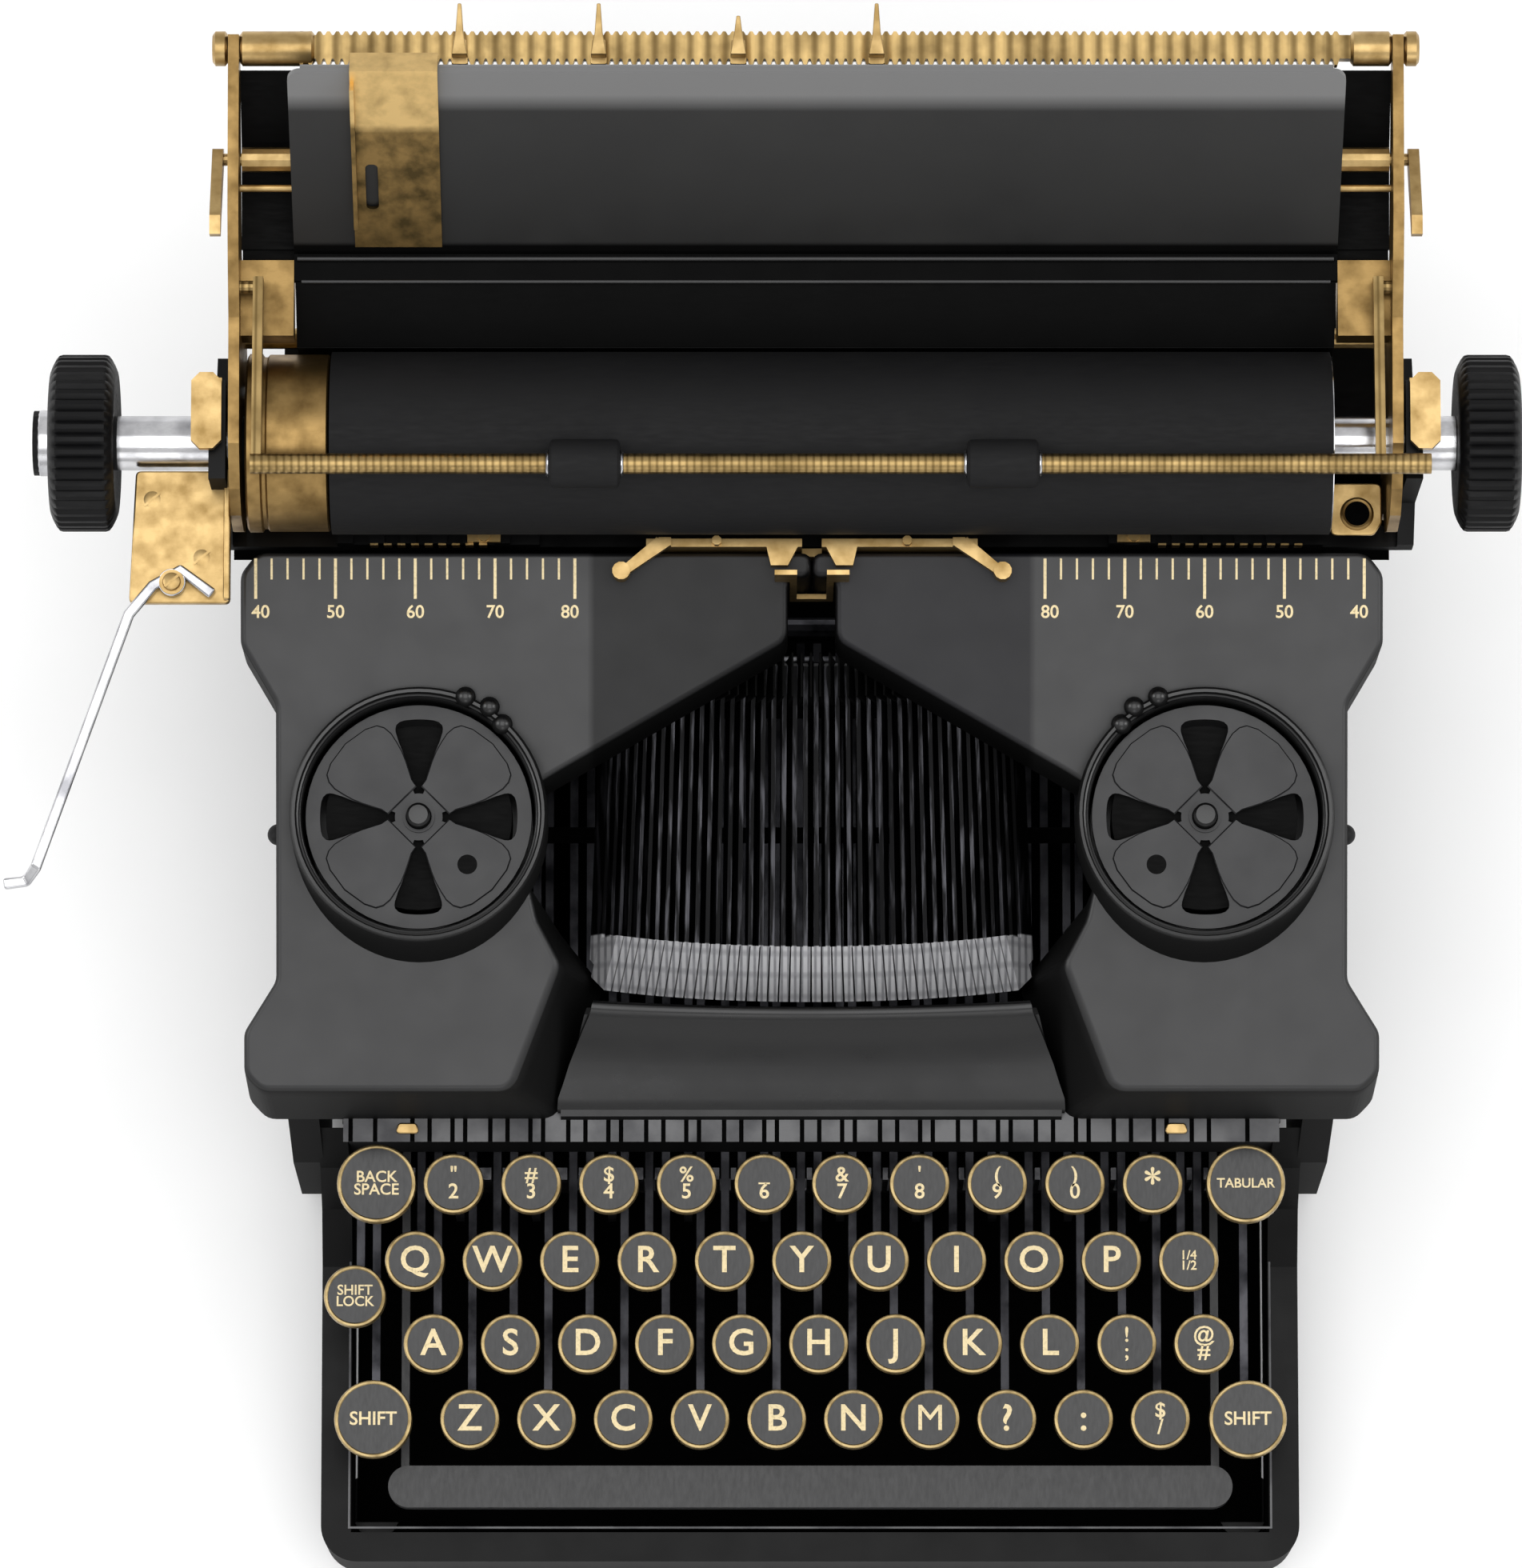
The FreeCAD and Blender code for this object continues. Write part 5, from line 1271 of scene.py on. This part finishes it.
@dataclass(frozen=True)
class PlatenSizes:
    """Axis and ends of the platen and of what turns with it."""

    y: float = 258.0
    z: float = 176.0
    knob_r: float = 21.3
    ribs: int = 44
    groove: float = 0.9
    knobs: tuple[tuple[str, float, float], ...] = (("left", -183.1, -167.3), ("right", 155.0, 169.9))
    shaft_r: float = 6.5
    shafts: tuple[Point, ...] = ((-167.3, -139.8), (125.4, 155.0))
    stub: Point = (-187.3, -183.1)
    drum: tuple[Point, ...] = (
        (6.6, -135.7), (20.7, -135.7), (21.5, -135.2), (21.5, -132.2), (20.7, -131.7), (20.7, -130.9),
        (21.3, -130.4), (21.3, -116.3), (20.9, -115.9), (6.6, -115.7))
    disc: tuple[Point, ...] = ((6.6, 124.52), (20.6, 124.52), (21.6, 124.75), (21.6, 124.55), (6.6, 124.9))


class PlatenDress(Dress[PlatenSizes]):
    """Ribbed knobs, bright shaft sleeves and the turned end."""

    def knob(self, label: str, x0: float, x1: float) -> Obj:
        """One knob: rounded ribs between two chamfered shoulders, with a dished face."""
        s = self.sizes
        length = x1 - x0
        mesh = bmesh.new()
        near = [(0.0, 0.82, 0.0), (0.5, 0.88, 0.0), (1.3, 0.95, 0.3), (2.0, 0.99, 0.8), (2.8, 1.0, 1.0)]
        far = [(length - along, share, cut) for along, share, cut in reversed(near)]
        stations = [(0.0, 0.60, 0.0), *near, *far, (length - 0.6, 0.60, 0.0)]
        steps = s.ribs * 6
        rings = []
        for along, share, cut in stations:
            ring = []
            for i in range(steps):
                angle = 2 * math.pi * i / steps
                wave = 0.5 - 0.5 * math.cos(angle * s.ribs)
                valley = max(0.0, wave - 0.55) / 0.45
                r = s.knob_r * share - s.groove * cut * valley
                y = s.y + r * math.cos(angle)
                ring.append(mesh.verts.new(place(x0 + along, y, s.z + r * math.sin(angle))))
            rings.append(ring)
        skin(mesh, rings, caps=[0, -1])
        return built(f"knob_grip_{label}", self.finishes.knob, mesh)

    def build(self) -> None:
        """Build both knobs and the bright pieces on the shaft."""
        s = self.sizes
        f = self.finishes
        axis = place(0, s.y, s.z)
        for label, x0, x1 in s.knobs:
            tie(self.knob(label, x0, x1), "platen", f"knob_{label}")
        r = s.shaft_r + 0.05
        for i, (x0, x1) in enumerate(s.shafts):
            profile = [(r - 0.3, x0), (r, x0 + 0.2), (r, x1 - 0.2), (r - 0.3, x1)]
            tie(turned(f"shaft_sleeve_{i}", profile, axis, f.nickel, Axis.X, 40), "platen")
        x0, x1 = s.stub
        profile = [(0.0, x0 - 0.05), (5.4, x0 - 0.05), (7.2, x0 + 0.6), (7.95, x0 + 1.6), (7.95, x1)]
        tie(turned("shaft_end", profile, axis, f.nickel, Axis.X, 40), "platen")
        drum = turned("ratchet_drum", s.drum, axis, f.dull_brass, Axis.X, 72)
        tie(drum, "platen", "line_space_ratchet")
        tie(turned("platen_end_disc", s.disc, axis, f.nickel, Axis.X, 64), "platen")
        log.info("platen dressed")


@dataclass(frozen=True)
class BailSizes:
    """Rod of the paper bail and its rollers."""

    y: float = 248.0
    z: float = 202.37
    rod_r: float = 2.45
    rollers: tuple[Point, ...] = ((-63.6, -45.0), (36.0, 54.7))
    ferrule: float = 0.9


class BailDress(Dress[BailSizes]):
    """Nickel ferrules on the ends of the bail rollers, and tyres with rounded shoulders."""

    def build(self) -> None:
        """Build both rollers."""
        s = self.sizes
        at = place(0, s.y, s.z)
        for label, (x0, x1) in zip(("left", "right"), s.rollers):
            tyre = [(s.rod_r + 0.06, x0 + 0.9), (5.0, x0 + 0.9), (5.75, x0 + 1.5), (5.85, x0 + 3.0),
                    (5.85, x1 - 3.0), (5.75, x1 - 1.5), (5.0, x1 - 0.9), (s.rod_r + 0.06, x1 - 0.9)]
            roller = turned(f"bail_tyre_{label}", tyre, at, self.finishes.platen, Axis.X, 40)
            tie(roller, f"bail_roll_{label[0]}", f"bail_roller_{label}")
            for end, out in ((x0, -1), (x1, 1)):
                e = end - out * s.ferrule
                ring = [(s.rod_r + 0.06, e), (3.2, e), (3.3, e + out * 0.3), (3.1, end - out * 0.2),
                        (2.8, end), (s.rod_r + 0.06, end)]
                ferrule = turned(f"bail_ferrule_{label}_{'b' if out > 0 else 'a'}", ring, at,
                                 self.finishes.nickel, Axis.X, 32)
                tie(ferrule, f"bail_roll_{label[0]}")
        log.info("bail dressed")


@dataclass(frozen=True)
class LeverSizes:
    """Path and section of the return lever."""

    path: tuple[Point, ...] = ((-143.8, 220.2), (-151.6, 226.1), (-158.2, 222.2), (-163.9, 215.3),
                               (-185.7, 154.3), (-188.2, 151.6), (-193.6, 150.9))
    width: float = 2.7
    low: float = 179.8
    thick: float = 2.2
    falls: tuple[float, ...] = (0.0, 0.0, 0.0, 0.0, 2.31, 6.6, 6.6)
    hub: Point = (-153.6, 223.0)
    screws: tuple[Point, ...] = ((-146.6, 229.4), (-158.6, 243.6))
    screw_z: float = 178.2
    screw_r: float = 2.6
    plate: tuple[Point, ...] = ((-164.0, 218.3), (-139.7, 218.3), (-139.7, 250.6), (-162.6, 250.6))
    plate_z: tuple[float, float] = (176.6, 179.4)
    post_r: float = 3.0


class ReturnLever(Dress[LeverSizes]):
    """Bright cranked lever with its hub, and the brass bracket that carries it."""

    def strip(self) -> Obj:
        """The bent strip, lowered at its finger end."""
        s = self.sizes
        mesh = bmesh.new()
        points = [Vector(p) for p in s.path]
        rings = []
        for i, point in enumerate(points):
            back = (point - points[max(i - 1, 0)]).normalized()
            ahead = (points[min(i + 1, len(points) - 1)] - point).normalized()
            run = (back + ahead).normalized()
            side = Vector((-run.y, run.x)) * (s.width / 2)
            z0 = s.low - s.falls[i]
            z1 = z0 + s.thick
            corners = [(point + side, z0), (point + side, z1), (point - side, z1), (point - side, z0)]
            rings.append([mesh.verts.new(place(p.x, p.y, z)) for p, z in corners])
        skin(mesh, rings, caps=[0, -1])
        return rounded(built("lever_strip", self.finishes.nickel, mesh), 0.7, 3, 30.0)

    def screw(self, name: str, x: float, y: float, z: float, r: float) -> Obj:
        """A slotted round-headed screw."""
        head = lathe([(r, z), (r, z + 0.6), (r * 0.9, z + 1.1), (r * 0.55, z + 1.4), (0.0, z + 1.45)], 24)
        slot = prism(box(-r * 0.95, r * 0.95, -0.3, 0.3), z + 1.38, z + 1.5)
        bmesh.ops.translate(slot, vec=-HOME * MM, verts=slot.verts)
        bmesh.ops.rotate(slot, matrix=Matrix.Rotation(0.7, 3, "Z"), verts=slot.verts)
        mesh = to_mesh(name, head, slot)
        mesh.transform(Matrix.Translation(place(x, y, 0)))
        return new_object(name, mesh, self.finishes.brass)

    def bracket(self) -> list[Obj]:
        """Flat brass plate below the lever, its raised fold, and the lever's post with its screw."""
        s = self.sizes
        brass = self.finishes.brass
        z0, z1 = s.plate_z
        plate = built("bracket_plate", brass, prism(soften(s.plate, 1.4), z0, z1))
        right, front = s.plate[1]
        fold = prism(box(right - 1.6, right, front + 0.6, s.plate[2][1]), z1 - 0.1, z1 + 2.4)
        edge = built("bracket_fold", brass, fold)
        x, y = s.hub
        foot, head = z1 - 0.5, s.low + 2.4
        post = turned("lever_post", [(0.0, foot), (s.post_r, foot), (s.post_r, head), (0.0, head)],
                      place(x, y, 0), brass)
        screw = self.screw("post_screw", x, y, s.low + 2.3, 2.2)
        return [rounded(plate, 0.5), rounded(edge, 0.5), post, screw]

    def build(self) -> None:
        """Build the lever, its bracket and the screws."""
        s = self.sizes
        strip = self.strip()
        profile = [(3.05, s.low), (3.2, s.low), (3.3, s.low + 0.3), (3.3, s.low + 1.9), (3.2, s.low + 2.1),
                   (3.05, s.low + 2.1)]
        hub = turned("lever_hub", profile, place(*s.hub, 0), self.finishes.nickel)
        for piece in self.bracket():
            tie(piece, "platen_frame", "lever_bracket")
        for piece in (strip, hub):
            tie(piece, "return_arm", "return_lever")
        for i, (x, y) in enumerate(s.screws):
            tie(self.screw(f"bracket_screw_{i}", x, y, s.screw_z, s.screw_r), "platen_frame")
        log.info("return lever built")


@dataclass(frozen=True)
class BaseSizes:
    """Dark sheets below, the slotted plate behind the keys, the apron and the painted highlight along the inner
    edges.
    """

    half: float = 114.4
    front: float = 8.0
    back: float = 283.0
    low: float = 8.6
    high: float = 9.4
    plate: tuple[float, float, float, float] = (96.4, 104.0, 112.75, 113.15)
    slot: float = 1.1
    front_keys: float = 40.0
    clips: tuple[float, ...] = (-98.7, 89.2)
    clip_y: tuple[float, float] = (98.3, 100.9)
    apron: tuple[tuple[float, float, float], ...] = (
        (103.6, 112.9, 62.0), (103.3, 114.0, 62.0), (103.5, 115.2, 62.0), (104.4, 116.4, 62.0),
        (106.4, 118.0, 61.8), (110.0, 120.8, 60.4), (114.0, 123.8, 59.0), (118.0, 127.4, 57.2),
        (121.4, 131.2, 55.6), (124.0, 135.0, 54.2), (125.4, 136.9, 53.6), (126.9, 137.4, 53.3),
        (128.0, 136.5, 53.0), (128.0, 134.8, 53.0))
    apron_bow: float = 1.6
    bow_from: float = 104.4
    edge_x: float = 115.6
    edge_y: tuple[float, float] = (8.2, 94.0)
    edge_z: float = 38.1


class Base(Dress[BaseSizes]):
    """What shows below, behind and round the keys."""

    def __init__(self, sizes: BaseSizes, keys: KeyboardSizes, finishes: Finishes) -> None:
        super().__init__(sizes, finishes)
        self.keys = keys

    def sheet(self) -> Obj:
        """Dark sheet that closes the bottom."""
        s = self.sizes
        outline = soften(box(-s.half, s.half, s.front, s.back), 3.0)
        return built("base_sheet", self.finishes.felt, prism(outline, s.low, s.high))

    def comb(self) -> list[Obj]:
        """Grey plate with a slot for every key lever."""
        s = self.sizes
        y0, y1, z0, z1 = s.plate
        places = [row.first + self.keys.pitch * i for row in self.keys.rows for i in range(len(row.legends))]
        places = sorted(places + [key.x for key in self.keys.odd if key.y > s.front_keys])
        start = -s.half
        bars = []
        for x in places + [s.half + s.slot / 2]:
            end = x - s.slot / 2
            if end - start > 0.2:
                bars.append(prism(box(start, end, y0, y1), z0, z1))
            start = x + s.slot / 2
        under = prism(box(-s.half, s.half, y0 + 0.2, y1 + 1), z0 - 0.1, z0)
        return [built("comb_plate", self.finishes.plate, *bars), built("comb_shadow", self.finishes.felt, under)]

    def clip(self, number: int) -> Obj:
        """One small brass catch on the slotted plate."""
        x = self.sizes.clips[number]
        z = self.sizes.plate[3]
        y0, y1 = self.sizes.clip_y
        outline = soften([(x - 3.0, y0), (x + 3.0, y0), (x + 2.2, y1), (x - 2.2, y1)], 1.0)
        return rounded(built(f"plate_catch_{number}", self.finishes.brass, prism(outline, z, z + 1.2)), 0.4)

    def apron_skin(self) -> Obj:
        """Smooth curved apron between the covers, with a rolled top edge."""
        s = self.sizes
        mesh = bmesh.new()
        rings = []
        columns = 24
        for y, z, half in s.apron:
            ring = []
            for i in range(columns + 1):
                x = -half + 2 * half * i / columns
                bow = s.apron_bow * (1.0 - (x / half) ** 2) * max(0.0, (y - s.bow_from) / 24.0)
                ring.append(mesh.verts.new(place(x, y - bow, z + 0.2)))
            rings.append(ring)
        skin(mesh, rings, closed=False)
        return built("apron_skin", self.finishes.apron, mesh, smooth=80.0)

    def bright_edge(self) -> Obj:
        """Grey strip of painted highlight along the inner edge of the frame round the keys."""
        s = self.sizes
        x = s.edge_x
        y0, y1 = s.edge_y
        outer = [(-x, y1), (-x, y0), (x, y0), (x, y1)]
        inner = [(x - 0.5, y1), (x - 0.5, y0 + 0.5), (-x + 0.5, y0 + 0.5), (-x + 0.5, y1)]
        # painted highlight: a pale grey band on the black frame's inner edge
        band = prism(outer + inner, s.edge_z, s.edge_z + 0.35)
        return built("frame_bright_edge", self.finishes.plate, band)

    def build(self) -> None:
        """Build every piece."""
        dark = [(self.sheet(), "foot_rubber"), (self.apron_skin(), "black_enamel")]
        light = [(piece, "grey_steel") for piece in self.comb()] + [(self.bright_edge(), "bright_steel")]
        brass = [(self.clip(number), "brass") for number in range(len(self.sizes.clips))]
        for piece, slot in dark + light + brass:
            tie(piece, "body")
        log.info("base dressed")


@dataclass(frozen=True)
class RearSizes:
    """Rack, beads, the dark carriage sheet of painted shade and the small pieces round the platen."""

    rack_y: tuple[float, float] = (343.5, 351.7)
    rack_z: tuple[float, float] = (206.6, 209.9)
    rack_x: tuple[float, float] = (-137.0, 138.6)
    teeth_x: tuple[float, float] = (-123.0, 127.6)
    tooth_pitch: float = 2.15
    tooth: float = 1.5
    socket_r: float = 4.2
    sockets: tuple[Point, ...] = ((-143.4, -139.7), (-136.9, -119.0), (128.6, 138.5), (141.3, 145.0))
    stops: tuple[Point, ...] = ((-84.2, 357.0), (-51.0, 357.0), (-17.7, 354.0), (15.3, 357.0))
    beads: tuple[tuple[float, float, float, float, float], ...] = (
        (-123.8, 125.4, 299.8, 193.0, 0.7), (-122.8, 124.6, 294.4, 192.0, 0.6))
    floor: tuple[float, float, float, float, float, float] = (-140.0, 141.5, 243.6, 276.2, 143.4, 144.2)
    rack_strips: tuple[Point, ...] = ((-107.0, -80.0), (84.0, 118.0))
    margin_tooth: float = 1.9
    margin_pitch: float = 3.3
    margin_y: tuple[float, float] = (236.5, 236.95)
    margin_z: tuple[float, float] = (153.4, 157.2)
    lips: tuple[tuple[float, float, float, float, float], ...] = (
        (-136.8, -124.2, 299.2, 303.4, 189.0), (126.0, 138.4, 299.2, 303.4, 189.0),
        (125.2, 138.4, 263.0, 299.0, 160.0))
    fillers: tuple[Point, ...] = ((-140.5, -124.5), (124.5, 140.5))
    filler_y: tuple[float, float] = (234.8, 243.0)
    filler_z: tuple[float, float] = (146.2, 146.9)
    lug: tuple[float, float, float, float, float] = (125.2, 137.6, 237.1, 249.8, 166.0)
    lug_hole: tuple[float, float, float] = (131.6, 242.3, 3.0)
    dome: tuple[float, float, float, float] = (129.8, 168.9, 135.0, 2.6)


class RearDress(Dress[RearSizes]):
    """Tabulator rack, table beads, a dark carriage sheet of painted shade, margin teeth, studs and the lug at the
    platen's end.
    """

    def rack(self) -> Obj:
        """Bar with fine teeth on both long edges."""
        s = self.sizes
        y0, y1 = s.rack_y
        z0, z1 = s.rack_z
        x0, x1 = s.teeth_x
        front, back = y0 + s.tooth, y1 - s.tooth * 0.6
        starts = [x0 + s.tooth_pitch * i for i in range(int((x1 - x0) / s.tooth_pitch))]
        along, across = [], []
        for x in starts:
            flank, crest, end = (x + s.tooth_pitch * share for share in (0.25, 0.55, 0.8))
            along += [(x, front), (flank, y0), (crest, y0), (end, front)]
            across += [(x, back), (flank, y1), (crest, y1), (end, back)]
        outline = [(s.rack_x[0], front), *along, (s.rack_x[1], front), (s.rack_x[1], back), *reversed(across),
                   (s.rack_x[0], back)]
        return built("rack_bar", self.finishes.rack, prism(outline, z0, z1))

    def socket(self, number: int) -> Obj:
        """One rounded socket or cap at an end of the rack."""
        s = self.sizes
        x0, x1 = s.sockets[number]
        r = s.socket_r
        profile = [(0.0, x0), (r - 0.9, x0), (r, x0 + 0.7), (r, x1 - 0.7), (r - 0.9, x1), (0.0, x1)]
        at = place(0, sum(s.rack_y) / 2 + 0.2, sum(s.rack_z) / 2)
        return turned(f"rack_socket_{number}", profile, at, self.finishes.brass, Axis.X, 32)

    def stop(self, number: int) -> Obj:
        """One tabulator stop: a clip on the rack with a tapering finger."""
        s = self.sizes
        x, reach = s.stops[number]
        y0 = s.rack_y[0]
        z = s.rack_z[1]
        clip = [(x - 2.0, y0 - 0.6), (x + 2.0, y0 - 0.6), (x + 1.6, y0 + 5.6), (x - 1.6, y0 + 5.6)]
        foot = prism(soften(clip, 0.5, 2), z + 0.05, z + 3.0)
        finger = prism([(x - 1.9, y0 + 1.0), (x + 1.9, y0 + 1.0), (x + 0.95, y0 + 6.5), (x + 0.45, reach),
                        (x - 0.45, reach), (x - 0.95, y0 + 6.5)], z + 3.0, z + 6.8)
        return rounded(built(f"tab_finger_{number}", self.finishes.brass, foot, finger), 0.25, 2)

    def bead(self, number: int) -> Obj:
        """One thin bead that catches the light along the foot of the table."""
        x0, x1, y, z, r = self.sizes.beads[number]
        profile = [(0.0, x0), (r, x0 + 0.3), (r, x1 - 0.3), (0.0, x1)]
        return turned(f"table_bead_{number}", profile, place(0, y, z), self.finishes.apron, Axis.X, 24)

    def margin_strip(self, x0: float, x1: float, number: int) -> Obj:
        """Fine brass teeth along the front of the carriage."""
        s = self.sizes
        parts = []
        x = x0
        while x < x1:
            parts.append(prism(box(x, x + s.margin_tooth, *s.margin_y), *s.margin_z))
            x += s.margin_pitch
        return built(f"margin_teeth_{number}", self.finishes.brass, *parts)

    def lip(self, number: int) -> Obj:
        """One dark strip of painted shade that closes a gap round the paper trough."""
        *outline, z = self.sizes.lips[number]
        return built(f"trough_lip_{number}", self.finishes.shadow, prism(box(*outline), z, z + 0.6))

    def lug(self) -> list[Obj]:
        """Brass lug at the front of the platen's right end, with a dark disc of painted shade for its round hole.
        """
        x0, x1, y0, y1, z = self.sizes.lug
        plate = prism(soften([(x0, y0), (x1 - 2.0, y0), (x1, y0 + 3.0), (x1, y1), (x0, y1)], 1.6), z, z + 1.4)
        piece = built("end_lug", self.finishes.brass, plate)
        x, y, r = self.sizes.lug_hole
        # painted shade: a dark disc where the hole is
        hole = turned("end_lug_hole", [(0.0, z + 1.5), (r, z + 1.5), (r, z + 1.2)], place(x, y, 0),
                      self.finishes.felt, steps=32)
        rim = turned("end_lug_rim", [(r, z + 1.3), (r, z + 2.0), (r + 0.5, z + 2.2), (r + 1.0, z + 1.9),
                                     (r + 1.1, z + 1.3)], place(x, y, 0), self.finishes.dull_brass, steps=32)
        return [rounded(piece, 0.4), hole, rim]

    def dome(self, side: Side) -> Obj:
        """Small dark round-headed stud on the side of one cover."""
        x, y, z, r = self.sizes.dome
        steps = 8
        turns = [math.pi / 2 * i / steps for i in range(steps)]
        profile = [(r * math.cos(a), r * math.sin(a) * side.value) for a in turns] + [(0.0, r * side.value)]
        return turned(f"cover_stud_{side.label}", profile, place(x * side.value, y, z), self.finishes.rubber,
                      Axis.X, 28)

    def build(self) -> None:
        """Build every piece and tie it to its body."""
        s = self.sizes
        for number in range(len(s.lips)):
            tie(self.lip(number), "platen_frame")
        for piece in self.lug():
            tie(piece, "platen_frame")
        for side in Side:
            tie(self.dome(side), "body")
        rack = [self.rack()] + [self.socket(i) for i in range(len(s.sockets))]
        for piece in rack + [self.stop(i) for i in range(len(s.stops))]:
            tie(piece, "platen_frame", "tab_rack")
        for number in range(len(s.beads)):
            tie(self.bead(number), "platen_frame")
        *outline, z0, z1 = s.floor
        # painted shade: a dark sheet under the carriage where only shade shows
        floor = built("carriage_floor", self.finishes.felt, prism(box(*outline), z0, z1))
        tie(floor, "carriage")
        for number, (x0, x1) in enumerate(s.fillers):
            # painted shade: dark fillers at the ends of the rails
            end = prism(box(x0, x1, *s.filler_y), *s.filler_z)
            tie(built(f"rail_end_{number}", self.finishes.felt, end), "body")
        for number, (x0, x1) in enumerate(s.rack_strips):
            tie(self.margin_strip(x0, x1, number), "carriage")
        log.info("rear dressed")


# Set and light

@dataclass(frozen=True)
class Soft:
    """One area light: its name, place, target, size and power."""

    name: str
    at: tuple[float, float, float]
    size: float
    power: float
    aim: tuple[float, float, float] = (0.0, 0.0, 0.08)


@dataclass(frozen=True)
class SetSizes:
    """Camera and lights, in metres of the row frame."""

    camera: tuple[float, float, float] = (-0.00012, -0.39516, 2.64836)
    tilt: float = 9.0
    lens: float = 239.9
    softs: tuple[Soft, ...] = (
        Soft("top_soft", (0.0, -0.1, 2.0), 1.6, 15.0),
        Soft("left_soft", (-1.4, 0.1, 1.1), 0.8, 7.0),
        Soft("right_soft", (1.4, 0.0, 1.2), 0.8, 7.0),
        Soft("front_soft", (0.1, -1.6, 1.0), 0.8, 3.0),
    )
    shine: tuple[float, float] = (1.0, 0.8)
    seen: tuple[float, float] = (0.94, 1.0)
    table_r: float = 2400.0


class Stage:
    """Floor, white surroundings, lights and camera."""

    def __init__(self, sizes: SetSizes = SetSizes()) -> None:
        self.sizes = sizes

    def world(self) -> None:
        """White seen by the camera, soft grey light on everything else."""
        world = bpy.data.worlds.new("surroundings")
        world.use_nodes = True
        bpy.context.scene.world = world
        tree = world.node_tree
        tree.nodes.clear()
        out = tree.nodes.new("ShaderNodeOutputWorld")
        path = tree.nodes.new("ShaderNodeLightPath")
        mix = tree.nodes.new("ShaderNodeMixShader")
        tree.links.new(path.outputs["Is Camera Ray"], mix.inputs[0])
        for socket, (grey, strength) in enumerate((self.sizes.shine, self.sizes.seen), 1):
            light = tree.nodes.new("ShaderNodeBackground")
            light.inputs["Color"].default_value = (grey, grey, grey, 1)
            light.inputs["Strength"].default_value = strength
            tree.links.new(light.outputs[0], mix.inputs[socket])
        tree.links.new(mix.outputs[0], out.inputs["Surface"])

    def floor(self) -> None:
        """A round table top whose edge is far outside the picture."""
        r = self.sizes.table_r
        table = turned("table_top", [(0.0, -0.5), (r, -0.5), (r, -8.0), (0.0, -8.0)], Vector((0, 0, 0)),
                       Ground().build(), steps=64)
        table.location.z = 0.0005

    def lights(self) -> None:
        """Large soft lights above and beside the machine."""
        for soft in self.sizes.softs:
            data = bpy.data.lights.new(soft.name, "AREA")
            data.shape = "SQUARE"
            data.size = soft.size
            data.energy = soft.power
            obj = linked(soft.name, data)
            obj.location = soft.at
            obj.rotation_euler = (Vector(soft.aim) - Vector(soft.at)).to_track_quat("-Z", "Y").to_euler()

    def camera(self) -> None:
        """The camera of the photograph, almost straight above."""
        data = bpy.data.cameras.new("main_camera")
        data.lens = self.sizes.lens
        data.sensor_width = 36.0
        data.sensor_fit = "AUTO"
        data.clip_end = 20.0
        obj = linked("main_camera", data)
        obj.location = self.sizes.camera
        obj.rotation_euler = (math.radians(self.sizes.tilt), 0.0, 0.0)
        bpy.context.scene.camera = obj

    def build(self) -> None:
        """Set everything up, with plain colour handling."""
        self.world()
        self.floor()
        self.lights()
        self.camera()
        bpy.context.scene.view_settings.view_transform = "Standard"


def main() -> None:
    """Build the looks round the CAD frame."""
    logging.basicConfig(level=logging.INFO, format="%(name)s: %(message)s")
    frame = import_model()
    finishes = Finishes()
    finishes.dress(frame["nodes"])
    Keyboard(KeyboardSizes(), finishes).build()
    Covers(CoverSizes(), finishes).build()
    RibbonDrive(RibbonSizes(), CoverSizes(), finishes).build()
    PlatenDress(PlatenSizes(), finishes).build()
    BailDress(BailSizes(), finishes).build()
    ReturnLever(LeverSizes(), finishes).build()
    Base(BaseSizes(), KeyboardSizes(), finishes).build()
    RearDress(RearSizes(), finishes).build()
    Stage().build()


if __name__ == "__main__":
    main()
